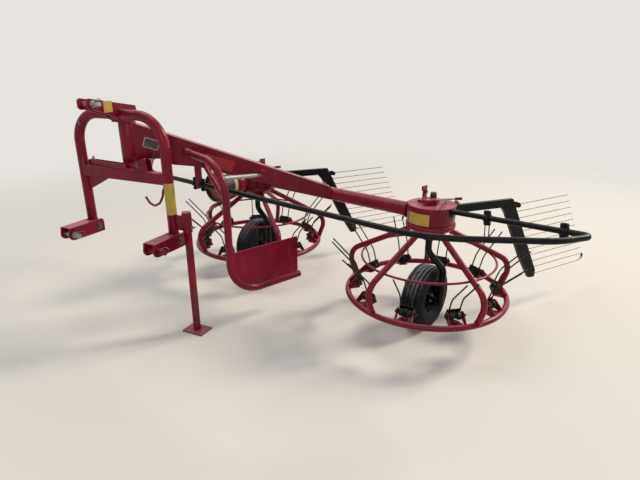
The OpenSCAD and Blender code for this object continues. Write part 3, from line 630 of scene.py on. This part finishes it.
sheet, rim = bmesh.new(), bmesh.new()
tag = at(boom, 0.1275, BOOM_FACE_Y - 0.5 * MM, 1.1513, (90, 0, -19.5))
inner, outer = rounded(83, 53, 3), rounded(90, 60, 4)
plate(sheet, inner, 1.4, tag)
for k in range(len(outer)):
    m = (k + 1) % len(outer)
    plate(rim, [outer[k], outer[m], inner[m], inner[k]], 2, tag)
piece("blank_plate", sheet, grey_plate, "chassis")
piece("blank_plate_rim", rim, zinc, "chassis")

bm = bmesh.new()
RED_LABEL = [(451, 1078), (626, 1019), (599, 953), (424, 1012)]
plate(bm, RED_LABEL, FILM, at(boom, 0, BOOM_FACE_Y, 0, (90, 0, 0)))
piece("boom_label_blank", bm, red_vinyl, "chassis")

# %% [markdown]
# A hand-laid weld is a slightly lumpy fillet of some 5 mm, so each is a thin ring swept round its joint, with its
# points shifted a little. The draws are seeded, so each run gives the same.

# %% Weld beads
BEAD, FINE_BEAD = 3.0, 2.4
CROSSBAR_EDGES, FOOT_TOP, ARCH_TOP = (0.945, 1.010), 0.6465, 1.332
CROSS_TUBE_Z = 0.756
random.seed(7)


def bead(bm, path, radius=BEAD, closed=True):
    """A weld bead along a path, lumpy from the welder's stops and starts."""
    points = [Vector(p) + Vector([random.uniform(-0.5, 0.5) * MM for _ in range(3)]) for p in path]
    bar(bm, points, radius, 6, closed)


def square_path(place, width, depth, count):
    """Points along a rectangle's rim in the place's XY plane."""
    corners = [Vector((sx * width / 2, sy * depth / 2, 0)) for sx, sy in ((1, 1), (-1, 1), (-1, -1), (1, -1))]
    return [place @ corners[i].lerp(corners[(i + 1) % 4], k / count) for i in range(4) for k in range(count)]


bm = bmesh.new()
for side, start in ((-1, -85), (1, 95)):
    for z in CROSSBAR_EDGES:
        leg = at(head, side * LEG_X, ARCH_Y, z)
        bead(bm, ring_path(leg, TUBE_R + 1 * MM, 20, start, start + 170), closed=False)
    bead(bm, ring_path(at(head, side * LEG_X, ARCH_Y, FOOT_TOP), TUBE_R + 1 * MM, 28))
for side in (-1, 1):
    bead(bm, ring_path(at(head, side * 0.0405, ARCH_Y, ARCH_TOP, (0, 90, 0)), TUBE_R + 1.5 * MM, 28))
bead(bm, ring_path(at(head, LEG_X + TUBE_R, ARCH_Y, 0.705, (0, 90, 0)), 12 * MM, 12), FINE_BEAD)
piece("welds_headstock", bm, red_enamel, "headstock")

bm = bmesh.new()
bead(bm, ring_path(at(boom, 0, 0, 1.037), 52.5 * MM, 30))
for side in (-1, 1):
    for inset, radius in ((0.010, 53.5 * MM), (0.022, 45.5 * MM)):
        flange = at(MACHINE, side * (hub_x - DRUM_R - inset), hub_y, CROSS_TUBE_Z, (0, 90, 0))
        bead(bm, ring_path(flange, radius, 34))
bead(bm, square_path(at(boom, 1.236, 0, 0.790, (0, 90, 0)), 0.088, 0.083, 6))
piece("welds_chassis", bm, red_enamel, "chassis")

# %% [markdown]
# On the hitch, a bolt holds each foot on its leg, and a linch pin with its spring ring locks each hitch pin.

# %% Hitch bolts and linch pins
PIN_R, PIN_HALF = 4.5, 20
FOOT_HALF, FOOT_BOLT_Z, LOWER_PIN_Z, TOP_PIN_Z = 0.0424, 0.602, 0.598, 1.399


def linch_pin(bm, place, ring_r=19):
    """A short pin along the place's Z, with a spring ring that folds over it."""
    turned(bm, [(0.72 * PIN_R, -PIN_HALF), (PIN_R, 3 - PIN_HALF), (PIN_R, PIN_HALF), (1.8 * PIN_R, PIN_HALF),
                (1.8 * PIN_R, PIN_HALF + 6), (0, PIN_HALF + 7)], place, 14)
    hoop = at(place, ring_r * MM, 0, (PIN_HALF - ring_r * 0.4) * MM, (90, 0, 0))
    bar(bm, ring_path(hoop, ring_r * MM, 26), 2, 8, True)


bm = bmesh.new()
for side in (-1, 1):
    for face in (-1, 1):
        place = at(head, side * LEG_X + face * FOOT_HALF, -0.066, FOOT_BOLT_Z, (0, 90 * face, 0))
        hex_bolt(bm, place, 24, 13, stud=0 if face > 0 else 6)
    linch_pin(bm, at(head, side * LEG_X + 0.074, -0.257, LOWER_PIN_Z, (20 * side, 0, 35)))
linch_pin(bm, at(head, 0.070, -0.262, TOP_PIN_Z, (0, 0, 100)), 21)
hex_bolt(bm, at(head, -0.2835, ARCH_Y - 0.0300, 1.2745, (90, 0, 0)), 13, 8)
piece("hitch_hardware", bm, dull_zinc, "headstock")

# %% [markdown]
# Below the crossbar hangs a bent hook for the drive shaft. On the crossbar lies a channel, with a bracket of two
# plates at its end, and in them the bar that locks the swivel. Its grip is bent up. The kingpin ends in a nipple.

# %% Shaft hook and swivel lock
HOOK = [(0.306, 0.925), (0.292, 0.900), (0.286, 0.868), (0.259, 0.825), (0.216, 0.802), (0.179, 0.816), (0.152, 0.852)]
CROSSBAR_TOP, KINGPIN_TOP = 1.0105, 1.3203
CHANNEL_LENGTH, CHANNEL_END_X = 350, -0.1765
CHANNEL = [(-17, 0), (17, 0), (17, 34), (12, 34), (12, 5), (-12, 5), (-12, 32), (-17, 32)]
CHANNEL_END = [CHANNEL[k] for k in (0, 1, 2, 7)]
BRACKET = [(95, 1010.5), (210, 1010.5), (200, 1078), (190, 1084), (150, 1078), (104, 1062), (100, 1056)]
BRACKET_YS = (-0.090, -0.050)
LOCKING_BAR = [(0.150, 0, 0.0135), (-0.080, 0, 0.0135), (-0.138, 0, 0.020), (-0.148, 0, 0.052)]

bm = bmesh.new()
bar(bm, bent([head @ Vector((x, ARCH_Y, z)) for x, z in HOOK], 0.03), 7, 12)
piece("shaft_hook", bm, red_enamel, "headstock")

bm = bmesh.new()
channel = at(head, -0.1255, -0.0645, CROSSBAR_TOP, (0, 0, -5.5))
plate(bm, CHANNEL, CHANNEL_LENGTH, at(channel, turn=(90, 90, 0)))
plate(bm, CHANNEL_END, 5, at(channel, CHANNEL_END_X, turn=(90, 90, 0)))
for y in BRACKET_YS:
    plate(bm, BRACKET, 8, at(head, 0, y, 0, (90, 0, 0)))
bead(bm, [channel @ Vector((x * MM, -0.0185, 0.0015)) for x in range(-172, 173, 13)], FINE_BEAD, False)
piece("locking_channel", bm, red_enamel, "headstock", 0.8)

bm = bmesh.new()
hex_bolt(bm, at(head, 0.140, -0.0948, 1.045, (90, 0, 0)), 15, 9)
bar(bm, bent([channel @ Vector(p) for p in LOCKING_BAR], 0.02), 7, 12)
turned(bm, [(6, 0), (6, 8), (3.2, 10), (3.2, 14), (4.2, 16), (0, 19)], at(head, 0, 0, KINGPIN_TOP), 14)
piece("locking_bar", bm, dull_zinc, "headstock")

# %% [markdown]
# The stand's sleeve has a cross pin with a spring clip, so that the stand can be set at two heights. A row of
# spare holes runs down the stand, each shown as a sunk disc with a rim.

# %% Stand hardware
STAND_X, STAND_Y, CROSS_PIN_Z = LEG_X + 0.099, -0.060, 0.700
HOLE_ZS = (0.30, 0.38, 0.46, 0.54)
CLIP = [(0, 0.004, 0.043), (0, -0.012, 0.043), (0.004, -0.022, 0.043), (0.006, -0.010, 0.045), (0.006, 0.030, 0.045)]

bm = bmesh.new()
place = at(head, STAND_X, STAND_Y, CROSS_PIN_Z, (0, 90, 0))
turned(bm, [(0, -40), (9, -40), (9, -32), (6, -32), (6, 50), (4, 53), (0, 53)], place, 16)
bar(bm, bent([place @ Vector(p) for p in CLIP], 4 * MM), 1.6, 8)
piece("stand_pin", bm, dull_zinc, "headstock")

bm = bmesh.new()
for z in HOLE_ZS:
    for face in (1, -1):
        turned(bm, [(6.5, -0.4), (6.5, 0.25), (5.2, 0.25), (5, -0.3)],
               at(head, STAND_X + face * 0.016, STAND_Y, z, (0, face * 90, 0)), 18)
bead(bm, square_path(at(head, STAND_X, STAND_Y, 0.0095), 0.036, 0.036, 5), FINE_BEAD)
piece("stand_holes", bm, red_enamel, "stand")

# %% [markdown]
# Strip clamps hold the front guard on its tubes and in its hanger. Each is two half shells bent round the tube,
# with an ear and a bolt above and below. Two thin hooked rods hang from each inner clamp.

# %% Guard clamps
GUARD_R, STRIP, EARS = 15.2, 5, 25
BOLT_REACH, GUARD_Z, HANGER_AHEAD = 5.6 * MM, 0.877, 0.728


def tube_clamp(strips, bolts, place, width):
    """A clamp round a tube along the place's X."""
    for start in (12, 192):
        inner = ring_path(MACHINE, GUARD_R + 0.3, 12, start, start + 156)
        outer = ring_path(MACHINE, GUARD_R + STRIP, 12, start, start + 156)
        outline = [(p.x, p.y) for p in inner] + [(p.x, p.y) for p in reversed(outer)]
        plate(strips, outline, width, at(place, turn=(0, 90, 0)))
    for side in (-1, 1):
        for face in (-1, 1):
            ear = at(place, 0, face * STRIP * 0.9 * MM, side * (GUARD_R + EARS * 0.5) * MM, (90, 0, 0))
            plate(strips, rounded(width, EARS, 5), STRIP, ear)
        z = side * (GUARD_R + EARS * 0.55) * MM
        hex_bolt(bolts, at(place, 0, -BOLT_REACH, z, (90, 0, 0)), 13, 7)
        hex_bolt(bolts, at(place, 0, BOLT_REACH, z, (-90, 0, 0)), 13, 6, stud=6)


strips, bolts, rods = bmesh.new(), bmesh.new(), bmesh.new()
for side in (1, -1):
    tip = Vector((side * 1.680, hub_y - 0.230, GUARD_Z))
    root = Vector((side * 0.805, hub_y - 0.009, 0.794))
    outer_place, inner_place = [axes_at(tip.lerp(root, share), root - tip) for share in (0.147, 0.614)]
    tube_clamp(strips, bolts, outer_place, 38)
    tube_clamp(strips, bolts, inner_place, 38)
    for x in (-0.012, 0.014):
        top = inner_place @ Vector((x, -0.004, -0.036))
        knee, foot = top + Vector((0.003 * side, 0, -0.07)), top + Vector((0.030 * side, 0.004, -0.105))
        bar(rods, bent([top, knee, foot], 0.02), 3.2, 8)
hanger = boom @ Vector((boom_line.length * (1 - HANGER_AHEAD / boom_line.y), 0, GUARD_Z))
for shift in (-0.040, 0.040):
    tube_clamp(strips, bolts, axes_at(hanger + Vector((shift, 0, 0)), (1, 0, 0)), 26)
piece("guard_clamps", strips, black_paint, "chassis", 0.5)
piece("guard_clamp_bolts", bolts, black_paint, "chassis")
piece("guard_rods", rods, black_paint, "chassis")

# %% [markdown]
# The deflector's hoop plugs into a collar welded on the boom's near face, and a black ring at the joint is
# painted shade for the dark gap there. The boom also carries a cut gusset beside the kingpin and a small tab for
# the stay.

# %% Boom fittings
COLLAR_X, COLLAR_Z = 0.322, 1.094
HOOP_X, HOOP_Y, HOOP_TOP = -0.133, hub_y - 0.835, 1.06
GUSSET = [(6, 1066), (15, 1040), (32, 1032), (110, 1088), (110, 1106), (88, 1122), (76, 1120)]

bm = bmesh.new()
start = boom @ Vector((COLLAR_X, -0.034, COLLAR_Z))
collar = at(axes_at(start, Vector((HOOP_X, HOOP_Y, HOOP_TOP)) - start), turn=(0, 90, 0))
turned(bm, [(23.6, 10), (26.5, 11), (26.5, 60), (25.5, 62), (23.4, 62)], collar, 32)
bead(bm, ring_path(at(boom, COLLAR_X, BOOM_FACE_Y, COLLAR_Z, (90, 0, 0)), 27 * MM, 26))
plate(bm, GUSSET, 10, at(boom, 0, BOOM_FACE_Y - 4 * MM, 0, (90, 0, 0)))
plate(bm, rounded(36, 14, 3), 22, at(boom, 0.800, BOOM_FACE_Y - 8 * MM, 0.950, (90, 18, 0)))
piece("boom_fittings", bm, red_enamel, "chassis", 0.8)

# A thin black ring just past the collar's end: painted shade for the gap between collar and hoop.
bm = bmesh.new()
turned(bm, [(23.5, 62.2), (24.6, 62.2), (24.6, 66.2), (23.5, 66.2)], collar, 32)
piece("hoop_joint_painted_shade_ring", bm, black_plastic, "chassis")

# %% [markdown]
# On each gear drum: an oil plug, a cast block, the lever's post with its black collar and steel cap, the long
# rod that the lever works, with its red end, and a thin hooked rod. These small controls don't move here.

# %% Gear drums
ROD_START, ROD_JOINT, ROD_TIP = (0, 0.024, 0.016), (0.087, 0.127, 0.016), (0.11615, 0.15945, 0.016)
LID_HOOK = [(0.103, -0.106, 0.004), (0.098, -0.060, 0.014), (0.066, 0.050, 0.014), (0.066, 0.050, 0.001)]
COLLAR = [(19, 26), (20, 36), (20, 54), (17.5, 56), (17.5, 62), (16.2, 64)]

blocks, collars, rods, rod_ends, caps, hooks = [bmesh.new() for _ in range(6)]
for side, hand in (("left", 1), ("right", -1)):
    lid = at(rotor_hub[side], 0, 0, drum_top)
    wall = at(rotor_hub[side], 0, 0, 0.783, (0, 0, -7))
    hex_bolt(collars, at(wall, DRUM_R - 0.5 * MM, turn=(0, 90, 0)), 27, 8)
    plate(blocks, rounded(72, 80, 6), 34, at(lid, -0.003, -0.026, 0.017, (0, 0, 40)))
    turned(collars, COLLAR, at(lid, 0, 0.012), 24)
    hex_bolt(blocks, at(lid, 0.0063 - hand * 0.062, 0.018, 0.060, (0, 90, 0)), 17, 9)
    bar(rods, [lid @ Vector(p) for p in (ROD_START, ROD_JOINT)], 6, 12)
    bar(rod_ends, [lid @ Vector(p) for p in (ROD_JOINT, ROD_TIP)], 9, 14)
    bar(hooks, bent([lid @ Vector(p) for p in LID_HOOK], 0.008), 3, 8)
    turned(caps, [(17, 0), (17, 2), (14, 3), (0, 3.4)], at(lid, 0, 0.012, 0.0635), 24)
piece("lever_bases", blocks, red_enamel, "chassis", 0.8)
piece("lever_collars", collars, black_plastic, "chassis")
piece("lever_caps", caps, dull_zinc, "chassis")
piece("lever_rods", rods, zinc, "chassis")
piece("lever_hooks", hooks, wire, "chassis")
piece("lever_rod_ends", rod_ends, red_enamel, "chassis", 1)

# %% [markdown]
# The drive's input: an orange rim on the mouth of the cone guard, the housing's red collar round the cone's neck,
# the pale nylon ring that holds the cone on it, the bolts of the housing, and the splines of the bare stub.

# %% Drive input
INPUT = at(rotor_hub["right"], 0, 0, CROSS_TUBE_Z, (90, 0, 0))
NECK = 143.5
GUARD_RIM = [(97.5, 398.5), (104.6, 398.5), (106, 402), (106, 403.6), (99, 403.6)]
NYLON_RING = [(73.4, NECK + 109), (76.2, NECK + 111), (76.4, NECK + 121), (81.6, NECK + 145), (79.4, NECK + 147)]
RED_COLLAR = [(52, NECK - 4), (61.5, NECK - 2), (71.6, NECK + 30), (75.2, NECK + 104), (73.2, NECK + 107)]

for name, profile, sides, finish, slot in (("guard_rim", GUARD_RIM, 48, orange_plastic, "black_plastic"),
                                           ("guard_ring", NYLON_RING, 40, tan_plastic, "black_plastic"),
                                           ("housing_collar", RED_COLLAR, 40, red_enamel, "red")):
    bm = bmesh.new()
    turned(bm, profile, INPUT, sides)
    piece(name, bm, finish, "chassis")

bm = bmesh.new()
for i in range(6):
    a = math.radians(30 + 60 * i)
    hex_bolt(bm, at(INPUT, 0.036 * math.cos(a), 0.036 * math.sin(a), 0.2036), 10, 6)
for i in range(6):
    spline = at(at(INPUT, turn=(0, 0, 60 * i)), 0.0181, 0, 0.252, (90, 90, 0))
    plate(bm, rounded(5.4, 70, 2), 2.4, spline)
piece("input_bolts", bm, dull_zinc, "chassis")

# %% [markdown]
# The rotors are what the eye goes to first, so their three CAD nodes a side are made again here, finer: a bell
# with five bent spokes of 36 mm tube, a lower ring of the same tube, and an upper ring of 14 mm bar that lies
# under the spokes. Each spoke is one bar with a wide bend, as a tube bender leaves it, and is welded to the ring.

# %% Rotor baskets
SPOKES_AT, BRACKETS_AT = 45, 67.5
RING_R, RING_Z, HOLDER_R, HOLDER_Z = 0.4925, 0.247, 0.4365, 0.293
KNEE = [(0.100, 0.662), (0.556, 0.414), (RING_R, RING_Z)]
BELL = [(33, 643.5), (90, 643.5), (100, 645.5), (110, 653.5), (146, 679.5),
        (150, 684), (150, 703.5), (148.5, 705.5), (33, 705.5)]
BRACKET_PLATE = [(0, -62), (0, 62), (-22, 47), (-70, 30), (-78, 20), (-78, -20), (-70, -30), (-22, -47)]


def bracket_arms(hub):
    """The ten places of a rotor's tine brackets: X outward, Z up, on the rotor's axis."""
    return [at(hub, turn=(0, 0, BRACKETS_AT + 36 * i)) for i in range(10)]


def ear_outline():
    """One ear, from the ring to a round end about the spool."""
    ring_x, ring_z, x, z = [v / MM for v in (RING_R, RING_Z, HOLDER_R, HOLDER_Z)]
    turns = [math.radians(a) for a in range(20, 221, 20)]
    round_end = [(x + 25 * math.cos(a), z + 25 * math.sin(a)) for a in turns]
    return [(ring_x - 8, ring_z - 4), (ring_x + 6, ring_z + 12), (ring_x - 14, ring_z + 36)] + round_end


def spoke(bm, arm):
    """A bent spoke from the bell to the ring, and the weld at its foot."""
    bar(bm, bent([arm @ Vector((x, 0, z)) for x, z in KNEE], 0.135, 7), 18, 16)
    foot, knee = [Vector((x, 0, z)) for x, z in (KNEE[2], KNEE[1])]
    down = (foot - knee).normalized()
    bead(bm, ring_path(arm @ axes_at(foot - down * 0.0175, (0, 1, 0), down), 18.6 * MM, 20))


def bracket(bm, arm):
    """A tine bracket on the ring: two ears, the plate between them, and the stub that the spool sits on."""
    for face in (-1, 1):
        plate(bm, ear_outline(), 4, at(arm, 0, face * 46.3 * MM, 0, (90, 0, 0)))
    plate(bm, BRACKET_PLATE, 6, at(arm, RING_R, 0, RING_Z, (0, 3, 0)))
    turned(bm, [(19, -4), (19, 13), (16.5, 15.5), (0, 15.5)], at(arm, RING_R - 50 * MM, 0, RING_Z + 2 * MM), 24)


for side, hub in rotor_hub.items():
    bm = bmesh.new()
    turned(bm, BELL, hub, 56)
    for i in range(5):
        spoke(bm, at(hub, turn=(0, 0, SPOKES_AT + 72 * i)))
    bar(bm, ring_path(at(hub, 0, 0, RING_Z), RING_R, 120), 17.5, 16, True)
    bar(bm, ring_path(at(hub, 0, 0, 0.4776), 0.4095, 96), 7, 10, True)
    for arm in bracket_arms(hub):
        bracket(bm, arm)
    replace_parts(piece(f"rotor_basket_{side}", bm, red_enamel, f"rotor_{side}", 0.8), f"rotor_{side}")

# %% [markdown]
# A double tine is one spring wire: a leg of 9 mm, three coils round the spool, a stretch through the clamp, and
# the same again mirrored. The wire follows a helix first and then leaves it along its tangent. The tines of a
# parked rake are folded up, so they stand 72 degrees steep and lean outward at their bend.

# %% Tines and their holders
COIL_R, WIRE_R, LEG_Y = 19.2 * MM, 4.5, 32 * MM
COILS, STEPS = 3, 36
TO_BEND, PAST_BEND, BEND = 0.110, 0.210, math.radians(26)
LEAN = -72
CLAMP_PLATE = [(-29, 8), (-25, 8), (-25, 24.3), (28, 24.3), (28, 29.3), (-29, 29.3)]
CLAMP_WEB = [(-15, 0), (15, 0), (15, 24.4), (-15, 24.4)]


def tine_path(hand):
    """One half of a double tine in its holder's axes, from the clamp round the coils to the tip."""
    path = [Vector((-0.006, hand * 6 * MM, COIL_R))]
    for k in range(STEPS + 1):
        turn = 2 * math.pi * COILS * k / STEPS
        sideways = hand * (LEG_Y - 19 * MM * (1 - k / STEPS))
        path.append(Vector((COIL_R * math.sin(turn), sideways, COIL_R * math.cos(turn))))
    y = hand * LEG_Y
    tip = Vector((TO_BEND + PAST_BEND * math.cos(BEND), y, COIL_R - PAST_BEND * math.sin(BEND)))
    return path + bent([Vector((0.004, y, COIL_R)), Vector((TO_BEND, y, COIL_R)), tip], 0.12, 6)


for side, hub in rotor_hub.items():
    wires, black, nuts = bmesh.new(), bmesh.new(), bmesh.new()
    for arm in bracket_arms(hub):
        holder = at(arm, HOLDER_R, 0, HOLDER_Z, (0, LEAN, 0))
        for hand in (-1, 1):
            bar(wires, [holder @ p for p in tine_path(hand)], WIRE_R, 8)
            across = at(holder, turn=(-90 * hand, 0, 0))
            turned(black, [(14.3, 0), (14.3, 40), (12, 43.6), (0, 43.6)], across, 20)
            hex_bolt(nuts, at(across, 0, 0, 48.6 * MM), 19, 9, stud=7 if hand > 0 else 0)
        standing = at(holder, turn=(90, 0, 0))
        plate(black, CLAMP_WEB, 15, standing)
        plate(black, CLAMP_PLATE, 86, standing)
        hex_bolt(nuts, at(holder, 0, 0, 30.2 * MM), 17, 9)
    for i in range(8):
        a = math.radians(22.5 + 45 * i)
        hex_bolt(nuts, at(hub, 0.082 * math.cos(a), 0.082 * math.sin(a), 0.6434, (180, 0, 0)), 13, 7)
    body = f"rotor_{side}"
    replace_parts(piece(f"double_tines_{side}", wires, wire, body), f"tines_{side}")
    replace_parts(piece(f"tine_clamps_{side}", black, black_paint, body, 0.8), f"tine_holders_{side}")
    piece(f"rotor_bolts_{side}", nuts, wire, body)

# %% [markdown]
# The wheels get their rim bolts, a valve and a grease cap. The cranked leg that carries a wheel is welded where
# it meets the drum's sleeve and at the axle.

# %% Wheel details
AXLE_Z = 0.205
BOLT_CIRCLE = 0.056

for side, hub in rotor_hub.items():
    bm, black = bmesh.new(), bmesh.new()
    wheel = at(hub, 0, 0, AXLE_Z)
    for i in range(5):
        a = math.radians(72 * i + 18)
        for face in (-1, 1):
            place = at(wheel, face * 0.0082, BOLT_CIRCLE * math.cos(a), BOLT_CIRCLE * math.sin(a), (0, 90 * face, 0))
            hex_bolt(bm, place, 15, 8)
    turned(bm, [(27, 0), (27, 8), (22, 16), (12, 22), (0, 24)], at(wheel, -0.064, 0, 0, (0, -90, 0)), 28)
    turned(black, [(6, 0), (5, 8), (4, 24), (4.6, 25), (4.6, 33), (0, 34)], at(wheel, 0.012, 0.078, 0, (0, 55, 0)), 14)
    piece(f"wheel_bolts_{side}", bm, wire, f"wheel_{side}")
    piece(f"wheel_valve_{side}", black, black_plastic, f"wheel_{side}")
bm = bmesh.new()
for hub in rotor_hub.values():
    bead(bm, ring_path(at(hub, 0, 0, 0.594), 22.5 * MM, 24))
    bead(bm, ring_path(at(hub, 0.0985, 0, AXLE_Z, (0, 90, 0)), 14 * MM, 20), FINE_BEAD)
piece("wheel_leg_welds", bm, black_paint, "chassis")

# %% [markdown]
# Each gate turns on a pin with a washer and a nut. A nut holds every rod in the blade, a lug near the blade's top
# takes the lever's hook, and the thick rod's end has a black cap.

# %% Gate details
GATE_TURN, ROD_TURN, GATE_PIN_R = 60, 9, 0.1735
BLADE_TOP, BLADE_FOOT, LUG_Z = 0.795, 0.260, 0.735
ROD_COUNT, LOWEST_ROD, ROD_SPAN, THICK_ROD = 12, 0.234, 0.515, 0.5326
LUG = [(0, 0), (36, -4), (44, 10), (30, 30), (0, 34)]


def blade_edge(z):
    """How far from the drum's axis the blade's front edge stands at a height."""
    return 0.600 + 0.300 * (BLADE_TOP - z) / 0.585


for side, hub in rotor_hub.items():
    gate = at(hub, turn=(0, 0, GATE_TURN))
    bm, black, lugs = bmesh.new(), bmesh.new(), bmesh.new()
    hex_bolt(bm, at(gate, GATE_PIN_R, 0, 0.8045), 24, 12)
    for i in range(ROD_COUNT):
        z = LOWEST_ROD + i * ROD_SPAN / (ROD_COUNT - 1)
        root = at(gate, blade_edge(max(z, BLADE_FOOT)), 0, z, (0, 0, ROD_TURN))
        hex_bolt(bm, at(root, 1.5 * MM, 0, 0, (0, 90, 0)), 10 if i else 19, 6, washer=False)
    thick = at(gate, blade_edge(BLADE_FOOT), 0, LOWEST_ROD, (0, 0, ROD_TURN))
    turned(black, [(7.2, 12), (7.2, 40.5), (6.2, 42.5), (0, 42.8)], at(thick, THICK_ROD), 18)
    for face in (-1, 1):
        plate(lugs, LUG, 5, at(gate, blade_edge(LUG_Z) - 4 * MM, face * 10.5 * MM, LUG_Z, (90, 0, 0)))
    bar(lugs, ring_path(at(gate, blade_edge(LUG_Z) + 30 * MM, 0, 0.745, (90, 0, 0)), 13 * MM, 20), 2.4, 8, True)
    piece(f"gate_bolts_{side}", bm, dull_zinc, f"gate_{side}")
    piece(f"gate_caps_{side}", black, black_plastic, f"gate_{side}")
    piece(f"gate_lugs_{side}", lugs, black_paint, f"gate_{side}", 0.5)

# %% [markdown]
# A dark plug closes the deflector hoop's rear end, and a weld runs along the foot of its plate.

# %% Deflector details
run = Vector((math.sin(math.radians(10)), math.cos(math.radians(10)), 0))
hoop_foot = Vector((HOOP_X, HOOP_Y, 0.243))

bm = bmesh.new()
turned(bm, [(17, -4), (19.5, -1), (18.5, 0.5), (0, 0.5)],
       at(axes_at(hoop_foot + run * 0.532, run), turn=(0, 90, 0)), 26)
piece("hoop_plug", bm, black_plastic, "chassis")

bm = bmesh.new()
for face in (-1, 1):
    start = hoop_foot + run * 0.215 + Vector((run.y, -run.x, 0)) * face * 4.4 * MM + Vector((0, 0, 22.8 * MM))
    bead(bm, [start + run * 0.0125 * k for k in range(25)], 2.6, False)
piece("deflector_welds", bm, red_enamel, "chassis")
print("added pieces:", len(faces_made), "faces:", sum(faces_made.values()))
